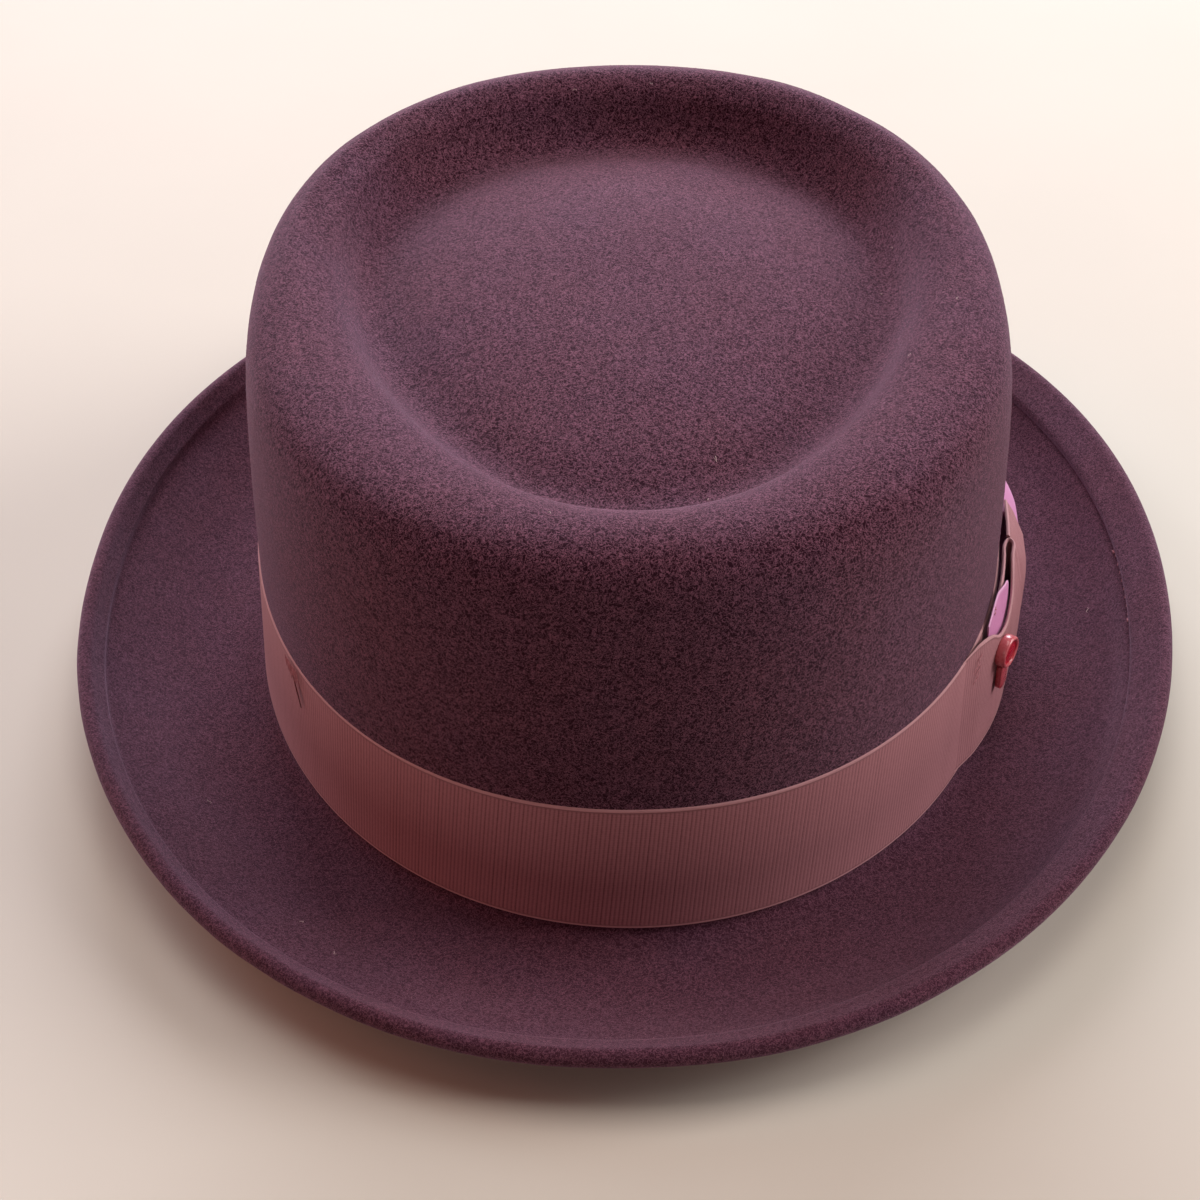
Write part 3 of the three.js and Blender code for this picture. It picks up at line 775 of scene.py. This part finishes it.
# %% Hat band
GAP = 0.3 * MM
BAND_ROWS = 2620  # about four to a rib, and few enough to keep the mesh light
RIB_LEAN = math.tan(math.radians(5))
band_low, band_high = (corner.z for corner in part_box("hat_band"))


def hat_band():
    """The ribbon round the crown."""
    angles = np.linspace(0, 2 * np.pi, BAND_ROWS, endpoint=False)
    levels = band_high - across_ribbon(band_high - band_low)
    lean = RIB_LEAN * (levels - levels.mean()) / WALL_FOOT["length"]
    face = wall_points(angles[:, None] + lean[None, :], levels[None, :], GAP)
    return woven_strip("grosgrain_band", levels, face, "hat_band", GROSGRAIN, joined=True)


band = hat_band()

# %% [markdown]
# ### The bow
#
# The bow is a few short lengths of ribbon, each folded and sewn down at one end: a loop of
# grosgrain, open at the top with a lilac ribbon inside, a short flap behind it and a lilac end.
# Cloth simulation would fold them by itself, but would not put each fold where it is wanted. So
# each ribbon is a table of places along it: how far forward, and how far its lower edge, its
# fullest part and its upper edge stand out from the wall. A smooth curve joins the places.

# %% Bow tables
bow_low, bow_high = (corner.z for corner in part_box("bow_front_loop"))
PUFF_Z = 0.0290  # the height of the fullest part
ON_BAND = 2 * GAP + GROSGRAIN["thickness"]
LOOP_INSIDE = ON_BAND + GROSGRAIN["thickness"]
LINING_AT = LOOP_INSIDE + GAP
SEWN_DOWN = 0.1 * MM  # inside the band, where the end is tucked in
TUCK_ROWS = 44  # rows over which the tucked end thins away, about 8 mm

# Columns: forward, low, puff, high, and how far the upper edge dips where the ribbon leans out.
FRONT_LOOP = [
    (0.034, LOOP_INSIDE, LOOP_INSIDE, LOOP_INSIDE, 0.0),
    (0.028, LOOP_INSIDE, LOOP_INSIDE, LOOP_INSIDE, 0.0),
    (0.022, LOOP_INSIDE, LOOP_INSIDE, LOOP_INSIDE, 0.0),
    (0.018, LOOP_INSIDE, LOOP_INSIDE, LOOP_INSIDE, 0.0),
    (0.0159, 0.0026, 0.0032, 0.0025, 0.0),
    (0.017, 0.0032, 0.0049, 0.0032, 0.0),
    (0.0205, 0.0032, 0.0048, 0.0029, 0.0004),
    (0.025, 0.0031, 0.0043, 0.0029, 0.0016),
    (0.0305, 0.003, 0.0038, 0.0033, 0.0044),
    (0.036, 0.0028, 0.0032, 0.0041, 0.0068),
    (0.041, 0.0024, 0.0026, 0.0035, 0.0060),
    (0.046, 0.0018, 0.0019, 0.0021, 0.0022),
    (0.051, 0.0011, 0.0011, 0.0011, 0.0002),
    (0.0545, 0.0005, 0.0005, 0.0005, 0.0),
    (0.058, SEWN_DOWN, SEWN_DOWN, SEWN_DOWN, 0.0),
]
LINING = [
    (0.0185, LINING_AT, LINING_AT, LINING_AT, 0.011),
    (0.024, LINING_AT, 0.0027, LINING_AT, 0.008),
    (0.0285, LINING_AT, 0.0030, 0.0022, 0.0015),
    (0.0325, LINING_AT, 0.0029, 0.0021, -0.0006),
    (0.036, 0.0019, 0.0027, 0.0014, -0.0012),
    (0.041, 0.0015, 0.0020, ON_BAND, -0.0012),
    (0.046, ON_BAND, ON_BAND, ON_BAND, 0.0),
]
REAR_FLAP = [
    (0.0015, 0.0036, 0.0067, 0.0024, 0.0),
    (0.006, 0.0035, 0.0062, 0.0022, 0.0),
    (0.0105, 0.0033, 0.0056, 0.0021, 0.0),
    (0.0146, 0.0030, 0.0047, 0.0020, 0.0),
]
TAIL = [
    (-0.04, ON_BAND, ON_BAND, ON_BAND, 0.0),
    (-0.032, 0.0017, 0.0042, 0.0016, 0.0),
    (-0.022, 0.0024, 0.0064, 0.0018, 0.0),
    (-0.012, 0.0028, 0.0071, 0.0020, 0.0),
    (-0.004, 0.0028, 0.0065, 0.0018, 0.0),
    (0.001, 0.0027, 0.0058, 0.0015, 0.0),
    (0.005, 0.0026, 0.0052, 0.0014, 0.0),
]
print("places along each ribbon:", len(FRONT_LOOP), len(LINING), len(REAR_FLAP), len(TAIL))

# %% Bow ribbons
def bow_point(forward, out, heights):
    """A point off the wall, `forward` of the widest part of the hat."""
    return wall_points(-np.arcsin(forward / WALL_FOOT["length"]), heights, out)


def out_at(row, heights):
    """Distance off the wall at a height, on the parabola through a row's three distances."""
    _, low, puff, high, _ = row
    a, b, c = bow_low, PUFF_Z, bow_high
    return (low * (heights - b) * (heights - c) / ((a - b) * (a - c))
            + puff * (heights - a) * (heights - c) / ((b - a) * (b - c))
            + high * (heights - a) * (heights - b) / ((c - a) * (c - b)))


def bow_ribbon(name, rows, length, node, ribbon, feather=0):
    """A strip of the bow, `length` long, that stands for one CAD node."""
    levels = bow_high - across_ribbon(bow_high - bow_low)
    share = (levels - bow_low) / (bow_high - bow_low)
    heights = [levels - row[4] * share for row in rows]
    grid = np.array([bow_point(row[0], out_at(row, z), z) for row, z in zip(rows, heights)])
    steps = round(length / RIB_SPACING) * STEPS_PER_RIB
    face, _ = smooth_curve(grid, np.linspace(0, len(rows) - 1, steps))
    return woven_strip(name, levels, face, node, ribbon, feather=feather)


front_loop = bow_ribbon("bow_loop", FRONT_LOOP, 0.062, "bow_front_loop", GROSGRAIN, TUCK_ROWS)
lining = bow_ribbon("bow_loop_lining", LINING, 0.0285, "bow_lining", LILAC)
rear_flap = bow_ribbon("bow_flap", REAR_FLAP, 0.0135, "bow_rear_flap", GROSGRAIN)
tail = bow_ribbon("bow_lilac_tail", TAIL, 0.046, "bow_tail", LILAC)

# %% [markdown]
# ### The button
#
# A small button of red enamelled metal, with a thin raised rim round a low dome, is fixed to the
# front loop. A short tab of the same red hangs under it. The button is round, so a short profile
# turned about its axis gives it exactly. A cylinder with a bevel would have no rim or dome. The tab
# is an outline in four layers, the outer two a little smaller so that its edges are eased.
#
# Enamel is glass, and the shader's own index of 1.5 is right for it. It is smooth, so it is the
# only glossy thing on the hat, though worn a little dull in places.

# %% Red enamel
def enamel_material(name, face, edge):
    """Fired enamel: a deep, even colour under a clear gloss. The `rim` attribute mixes in the paler `edge`
    colour: painted light on the button's rim and side, and the tab's pale upper part.
    """
    material, tree = start_material(name)
    rim = add_node(tree, "ShaderNodeAttribute", {"attribute_name": "rim"}, {}).outputs["Fac"]
    place = add_node(tree, "ShaderNodeTexCoord", {}, {}).outputs["Object"]
    cloud = add_node(tree, "ShaderNodeTexNoise", {}, {"Vector": place, "Scale": 1 / (1.4 * MM)})
    spread = add_node(tree, "ShaderNodeMapRange", {}, {
        "Value": cloud.outputs["Fac"], "To Min": 0.40, "To Max": 0.16})
    colour = add_node(tree, "ShaderNodeMix", {"data_type": "RGBA"}, {
        "Factor": rim, MIX_A: linear(face), MIX_B: linear(edge)})
    shader = add_node(tree, "ShaderNodeBsdfPrincipled", {}, {
        "Base Color": colour.outputs[MIX_RESULT], "Roughness": spread.outputs[0],
        "Coat Weight": 0.5, "Coat Roughness": 0.12})
    add_node(tree, "ShaderNodeOutputMaterial", {}, {"Surface": shader.outputs["BSDF"]})
    return material


# The deep red of the face, and the paler red that is painted light on the button's rim and side and makes
# the tab's upper part pale.
RED = enamel_material("red_enamel_gloss", "#a81429", "#bd5a62")
print("the enamel's material has", len(RED.node_tree.nodes), "nodes")

# %% The button
BUTTON_AT = dict(forward=0.040, out=0.0036)  # the middle of its back
BUTTON_Z = 0.0281
BUTTON_TURN = math.radians(-15)
# Radius and height off the button's back, from the middle of the back to the middle of the face.
BUTTON_PROFILE = [(3.3, 0.0), (3.65, 0.12), (3.8, 0.45), (3.8, 1.9), (3.72, 2.3), (3.5, 2.55),
                  (3.25, 2.6), (3.0, 2.5), (2.8, 2.28), (2.6, 2.12), (2.0, 2.22), (1.1, 2.34)]
BUTTON_RADIUS = max(radius for radius, _ in BUTTON_PROFILE) * MM
BUTTON_FACE = 2.38 * MM
RIM_FROM = 3.0  # the radius, in millimetres, outside which the rim and side get painted light


def on_loop(point):
    """A point of the button, outward, sideways and up from its middle, in place on the bow."""
    ahead = 0.01  # any distance will do to find the way outward
    foot = bow_point(BUTTON_AT["forward"], BUTTON_AT["out"], BUTTON_Z)
    out = bow_point(BUTTON_AT["forward"], BUTTON_AT["out"] + ahead, BUTTON_Z) - foot
    heading = math.atan2(out[1], out[0]) + BUTTON_TURN
    c, s = math.cos(heading), math.sin(heading)
    return foot + np.array([point[0] * c - point[1] * s, point[0] * s + point[1] * c, point[2]])


def button():
    """The lathed button, with its face away from the hat."""
    turns = np.linspace(0, 2 * np.pi, 48, endpoint=False)
    points = [on_loop((height * MM, radius * MM * math.cos(t), radius * MM * math.sin(t)))
              for radius, height in BUTTON_PROFILE for t in turns]
    points += [on_loop((0, 0, 0)), on_loop((BUTTON_FACE, 0, 0))]
    rear, front = len(points) - 2, len(points) - 1
    last = (len(BUTTON_PROFILE) - 1) * len(turns)
    near = np.arange(len(turns))
    far = (near + 1) % len(turns)
    faces = ring_faces(len(BUTTON_PROFILE), len(turns), False)[:, ::-1].tolist()
    faces += [(rear, b, a) for a, b in zip(near, far)]
    faces += [(front, last + a, last + b) for a, b in zip(near, far)]
    piece = make_piece("red_enamel_button", points, faces, RED, "red_enamel", ["red_button"])
    # The rim and side, which the material paints paler, as painted light.
    on_rim = [radius >= RIM_FROM for radius, _ in BUTTON_PROFILE for _ in turns]
    mark_points(piece, "rim", on_rim + [True, False])


button()

# %% The tab
TAB_SIZE = (1.4 * MM, 3.2 * MM, 6.6 * MM)
TAB_TOP = -BUTTON_RADIUS - GAP
TAB_END = 0.18  # share of the length that its rounded lower end takes
TAB_LAYERS = ((0.0, 0.88), (0.14, 1.0), (0.86, 1.0), (1.0, 0.88))  # share of the thickness, scale
DEEP_BELOW, TAB_PALENESS = -0.9, 0.75  # its tip is deep red, and the rest is pale


def button_tab():
    """The flat tab, with its lower end rounded and its long edges eased."""
    thick, width, length = TAB_SIZE
    outline = [(-0.5, 0.0), (0.5, 0.0)]
    outline += [(0.5 * math.cos(t), TAB_END - 1 + TAB_END * math.sin(-t))
                for t in np.linspace(0, np.pi, 11)]
    points = [on_loop((share * thick, side * width * scale, TAB_TOP + down * length * scale))
              for share, scale in TAB_LAYERS for side, down in outline]
    count, size = len(TAB_LAYERS), len(outline)
    faces = ring_faces(count, size, False).tolist()
    faces += [list(range(size)), list(range(count * size - 1, (count - 1) * size - 1, -1))]
    piece = make_piece("red_enamel_tab", points, faces, RED, "red_enamel", ["red_button_tab"])
    paleness = [0.0 if down < DEEP_BELOW else TAB_PALENESS for _ in TAB_LAYERS for _, down in outline]
    mark_points(piece, "rim", paleness)
    piece.data.set_sharp_from_angle(angle=math.radians(50))


button_tab()

# %% [markdown]
# ## Sewing
#
# A few stitches show. Some of them hold the folded edge of the brim on the wearer's left, the
# ribbon is caught down with a pucker on the right of its front, and the bow's lengths are sewn
# together with a knot on top and short ends of thread beside it.
#
# Curves with a bevel would also make threads, and would then have to be turned into meshes. The
# helper above sweeps a small ring along each thread instead, thinner at its ends, and all the
# threads of one place join into one mesh. Waves of different lengths keep neighbours from looking
# alike.

# %% Sewing cotton
def thread_material(name, dark, pale):
    """Twisted cotton, matt: two tones that follow the twist, which takes half a millimetre."""
    material, tree = start_material(name)
    place = add_node(tree, "ShaderNodeTexCoord", {}, {}).outputs["Object"]
    twist = add_node(tree, "ShaderNodeTexNoise", {}, {
        "Vector": place, "Scale": 1 / (0.5 * MM), "Detail": 1.0})
    colour = add_node(tree, "ShaderNodeMix", {"data_type": "RGBA"}, {
        "Factor": twist.outputs["Fac"], MIX_A: linear(dark), MIX_B: linear(pale)})
    shader = add_node(tree, "ShaderNodeBsdfPrincipled", {}, {
        "Base Color": colour.outputs[MIX_RESULT], "Roughness": 0.7, "Specular IOR Level": 0.3})
    add_node(tree, "ShaderNodeOutputMaterial", {}, {"Surface": shader.outputs["BSDF"]})
    return material


COTTON = thread_material("sewing_cotton", "#8a4a54", "#c98c92")
print("the cotton's material has", len(COTTON.node_tree.nodes), "nodes")

# %% Stitches of the brim
ABOVE_FELT = 0.35 * MM
STITCHES, POINTS_EACH = 8, 5
FIRST_STITCH, STITCH_PITCH, STITCH_STEP = 6.4, 1.27, 0.09  # degrees round the hat
CUT_EDGE = WELT_RING - 0.62  # where the fold's cut edge lies, counted along the rings
TANGLES = (6.9, -3.6)  # degrees round the hat


def on_brim(turn, place):
    """A point just over the felt's upper face, at a place along the rings from tip to edge."""
    angle = np.array([math.radians(turn)])
    rows = np.array([oval_ring(ring, angle) for ring in rings])
    rows[..., 2] += np.array([[ring.get("rise", 0)] for ring in rings]) * edge_rise(angle)
    point, direction = smooth_curve(rows, np.array([place]))
    around = np.array([-math.sin(angle[0]), math.cos(angle[0]), 0.0])
    normal = np.cross(direction[0, 0], around)
    return point[0, 0] + normal / np.linalg.norm(normal) * ABOVE_FELT


def tangle(start, k):
    """One loose curl of thread at an end of the row of stitches."""
    curl = []
    for m in range(8):
        turn = start + 0.30 * math.cos(2.1 * m + k)
        place = CUT_EDGE + 0.11 * math.sin(1.7 * m + 2 * k)
        curl.append(on_brim(turn, place) + (0, 0, 0.12 * MM * (m % 3)))
    return curl


def brim_stitches():
    """Short stitches along the fold, with a tangle at each end."""
    parts = []
    for k in range(STITCHES):
        start = FIRST_STITCH - STITCH_PITCH * k
        dash = [on_brim(start - STITCH_STEP * m, CUT_EDGE + 0.05 * math.sin(m))
                for m in range(POINTS_EACH)]
        parts.append(tube(dash, 0.11 * MM))
    parts += [tube(tangle(start, k), 0.12 * MM) for start in TANGLES for k in range(3)]
    make_piece("brim_stitches", *join_parts(parts), COTTON, "grosgrain")


brim_stitches()

# %% [markdown]
# ### The pucker in the band
#
# Where a stitch draws the ribbon in, the fold beside it is a narrow slit in deep shade. Cutting
# the ribbon's mesh there would spoil its even rows. So the shade is painted: a thin lens of the
# ribbon's darkest red, laid on the ribbon, looks the same from any side.

# %% Pucker
# Painted shade for the slit, in two dark reds.
SLIT_SHADE = thread_material("ribbon_pucker_shade", "#30090d", "#6a1f24")
PUCKER_TURN, PUCKER_SWEEP = -147.4, 1.9  # degrees round the hat
PUCKER_TOP, PUCKER_DROP = 0.0358, 0.0072
PUCKER_HALF, PUCKER_TIP = 0.6 * MM, 0.02 * MM  # half widths in its middle and at its ends
PUCKER_LIFT = 0.10 * MM
PUCKER_ROWS = 9
HAT_RADIUS = 0.095  # turns a short width on the ribbon into degrees


def band_point(turn, z, lift):
    """A point over the outside of the hat band."""
    return wall_points(math.radians(turn), z, GAP + GROSGRAIN["thickness"] + RIB_HEIGHT + lift)


def band_pucker():
    """The slit of a gathered stitch: a thin dark lens of painted shade on the ribbon."""
    rows = []
    for k in range(PUCKER_ROWS):
        share = k / (PUCKER_ROWS - 1)
        half = PUCKER_HALF * math.sin(math.pi * min(max(share, 0.04), 0.96)) ** 0.7 + PUCKER_TIP
        turn, z = PUCKER_TURN + PUCKER_SWEEP * share, PUCKER_TOP - PUCKER_DROP * share
        rows.append([band_point(turn + math.degrees(side * half / HAT_RADIUS), z, lift)
                     for side, lift in ((-1, 0), (0, PUCKER_LIFT), (1, 0), (0, -PUCKER_LIFT))])
    faces = ring_faces(PUCKER_ROWS, 4, False).tolist()
    faces += [[0, 1, 2, 3], [4 * PUCKER_ROWS - 1 - k for k in range(4)]]
    make_piece("band_pucker", np.reshape(rows, (-1, 3)), faces, SLIT_SHADE, "grosgrain")


band_pucker()

# %% Loose threads
FRAYED_ENDS, KNOT_TURNS, SEWN_ENDS = 9, 4, 4
FRAY_TURN, FRAY_PITCH, FRAY_SLANT, FRAY_FAN = -149.6, 0.42, 0.11, 0.05  # degrees round the hat
FRAY_TOP, FRAY_STEP, FRAY_LIFT = 0.0388, 0.0009, 0.08 * MM
KNOT_AT = dict(forward=0.0405, out=0.0012, z=0.0392)
SEWN_AT = dict(forward=0.0510, out=0.0019, z=0.0362)


def frayed_end(k):
    """One of the short ends at the top of the ribbon by the pucker."""
    start, step = FRAY_TURN + FRAY_PITCH * k, FRAY_SLANT + FRAY_FAN * (k % 3)
    return [band_point(start + step * m, FRAY_TOP - FRAY_STEP * m, FRAY_LIFT) for m in range(4 + k % 3)]


def knot_turn(k):
    """One turn of the knot on top of the bow, a millimetre or so across."""
    return [bow_point(KNOT_AT["forward"] + 0.0010 * math.cos(1.9 * m + 1.3 * k),
                      KNOT_AT["out"] + 0.0006 * math.sin(2.3 * m + k),
                      KNOT_AT["z"] + 0.0007 * math.sin(1.3 * m + 2 * k)) for m in range(9)]


def sewn_end(k):
    """One of the ends where the loop is sewn down, each 1.7 mm under the last."""
    return [bow_point(SEWN_AT["forward"] + 0.0006 * m + 0.0010 * (k % 2),
                      SEWN_AT["out"] - 0.0001 * m,
                      SEWN_AT["z"] - 0.0017 * k - 0.0003 * m) for m in range(5)]


loose = [tube(frayed_end(k), 0.12 * MM) for k in range(FRAYED_ENDS)]
loose += [tube(knot_turn(k), 0.13 * MM) for k in range(KNOT_TURNS)]
loose += [tube(sewn_end(k), 0.10 * MM) for k in range(SEWN_ENDS)]
make_piece("loose_thread_ends", *join_parts(loose), COTTON, "grosgrain")

# %% [markdown]
# ## Standing nap
#
# What makes felt look soft is that single fibres stand off it, which blurs the outline and lies
# pale over the ground. Hair could be grown there, but hair is no mesh, and an exported model would
# lose it. So each fibre is a curved three-sided spike on the upper face, and NumPy makes thousands
# of them at once. They are longest on the crown and short on the smoother brim. Real fibres are
# about a quarter as thick, and there are far more of them.

# %% Wool fibre
def fibre_material():
    """Single wool fibres: the felt's dye, in dark and pale patches about a millimetre across."""
    material, tree = start_material("wool_fibre")
    place = add_node(tree, "ShaderNodeTexCoord", {}, {}).outputs["Object"]
    patch = add_node(tree, "ShaderNodeTexNoise", {}, {"Vector": place, "Scale": 1 / (1.1 * MM)})
    colour = add_node(tree, "ShaderNodeMix", {"data_type": "RGBA"}, {
        "Factor": patch.outputs["Fac"], MIX_A: linear("#3a1520"), MIX_B: linear("#9c717d")})
    shader = add_node(tree, "ShaderNodeBsdfPrincipled", {}, {
        "Base Color": colour.outputs[MIX_RESULT], "Roughness": 0.9, "Specular IOR Level": 0.1,
        "Sheen Weight": 0.4, "Sheen Roughness": 0.5, "Sheen Tint": linear("#cfa5b8")})
    add_node(tree, "ShaderNodeOutputMaterial", {}, {"Surface": shader.outputs["BSDF"]})
    return material


FIBRE = fibre_material()
print("the fibres' material has", len(FIBRE.node_tree.nodes), "nodes")

# %% Nap
FIBRE_RADIUS = 0.055 * MM
ROOT_DEPTH = 0.05 * MM
EDGE_ROWS = 7  # rows of the round edge, down to just past its widest
random = np.random.default_rng(7)
outer = np.concatenate([upper, round_edge[:EDGE_ROWS]])
print(len(outer), "rows of the outer face can carry nap")


def scatter(grid, count):
    """Random points on a grid of quads, evenly over its area, and the normal at each."""
    near, far = grid[:-1], grid[1:]
    corners = [near, far, np.roll(far, -1, axis=1), np.roll(near, -1, axis=1)]
    normal = np.cross(corners[1] - corners[0], corners[3] - corners[0])
    area = np.linalg.norm(normal, axis=-1)
    normal = -normal / np.maximum(area, 1e-12)[..., None]
    pick = random.choice(area.size, count, p=area.ravel() / area.sum())
    a, b, c, d = (corner.reshape(-1, 3)[pick] for corner in corners)
    u, v = random.random((2, count, 1))
    root = (a * (1 - u) + b * u) * (1 - v) + (d * (1 - u) + c * u) * v
    return root, normal.reshape(-1, 3)[pick]


def nap(name, first, last, count, lengths):
    """Fibres on the rows `first` to `last` of the outer face. Each lies over, bent to one side."""
    root, up = scatter(outer[first:last], count)
    flat = random.normal(size=(count, 3))
    flat -= up * np.sum(flat * up, axis=1, keepdims=True)
    flat /= np.linalg.norm(flat, axis=1, keepdims=True)
    length = random.uniform(*lengths, (count, 1))
    across = np.cross(up, flat)
    # How far the fibre bends sideways and stands up, as shares of its length.
    bend = random.uniform(-0.5, 0.5, (count, 1))
    lift = random.uniform(0.25, 0.8, (count, 1))
    middle = root + length * 0.5 * (flat + up * lift)
    tip = middle + length * 0.5 * (flat * (1 - 0.3 * lift) + across * bend + up * lift * 0.1)
    turns = np.linspace(0, 2 * np.pi, 3, endpoint=False)[None, :, None]
    ring = np.cos(turns) * across[:, None] + np.sin(turns) * up[:, None]
    vertices = np.concatenate([(root - up * ROOT_DEPTH)[:, None] + FIBRE_RADIUS * ring,
                               middle[:, None] + 0.8 * FIBRE_RADIUS * ring, tip[:, None]], axis=1)
    one = [(0, 2, 1), (0, 1, 4, 3), (1, 2, 5, 4), (2, 0, 3, 5), (3, 4, 6), (4, 5, 6), (5, 3, 6)]
    size = vertices.shape[1]
    faces = [[size * k + i for i in face] for k in range(count) for face in one]
    make_piece(name, vertices.reshape(-1, 3), faces, FIBRE, "wool_felt")


# %% Where the nap grows
TOP_OF_RIM = [ring["at"] for ring in CROWN_RINGS].index("top of the rim")
tip_rows = int(np.sum(places <= TOP_OF_RIM))
at_or_under_band = upper[:, 0, 2] < band_high + MM
wall_rows = int(np.argmax(at_or_under_band & (np.arange(len(upper)) > tip_rows)))
brim_row = int(np.argmax(places >= len(CROWN_RINGS) + 0.5))  # halfway over the flat ring
print("rows of nap: tip to", tip_rows, "wall to", wall_rows, "brim from", brim_row, "of", len(outer))
nap("nap_of_the_tip", 0, tip_rows + 1, 15000, (0.5 * MM, 1.2 * MM))
nap("nap_of_the_wall", tip_rows, wall_rows, 19500, (0.5 * MM, 1.3 * MM))
nap("nap_of_the_brim", brim_row, len(outer), 17000, (0.35 * MM, 0.9 * MM))

# %% [markdown]
# ### Lint
#
# Felt holds lint. A few short pale cotton fibres lie flat on it. They are made as the threads are,
# only thinner, and every third one lies in the well of the crown.

# %% Lint
LINT = thread_material("cotton_lint", "#9a8080", "#c9b4b0")
LINT_COUNT, LINT_POINTS, LINT_RADIUS = 26, 6, 0.06 * MM
EDGE_OF_TIP = 2  # the ring from which it lies in the well


def lint():
    """A few pale stray fibres that lie on the felt."""
    parts = []
    for k in range(LINT_COUNT):
        turn, place = random.uniform(0, 360), random.uniform(WELT_RING - 5, WELT_RING + 1)
        if k % 3 == 0:
            place = random.uniform(EDGE_OF_TIP, TOP_OF_RIM)
        sweep = random.uniform(0.3, 0.9) / (LINT_POINTS - 1)
        parts.append(tube([on_brim(turn + sweep * m, place + 0.05 * math.sin(1.1 * m + k))
                           for m in range(LINT_POINTS)], LINT_RADIUS, sides=4))
    make_piece("lint", *join_parts(parts), LINT, "wool_felt")


lint()

# %% [markdown]
# ## The ribbons
#
# Every ribbon is a flat strip before it is sewn on. The band is stretched round the felt, and
# the bow's ribbons keep the folds that they are sewn into.

# %% The ribbons
print("five ribbons: the band and four lengths in the bow")
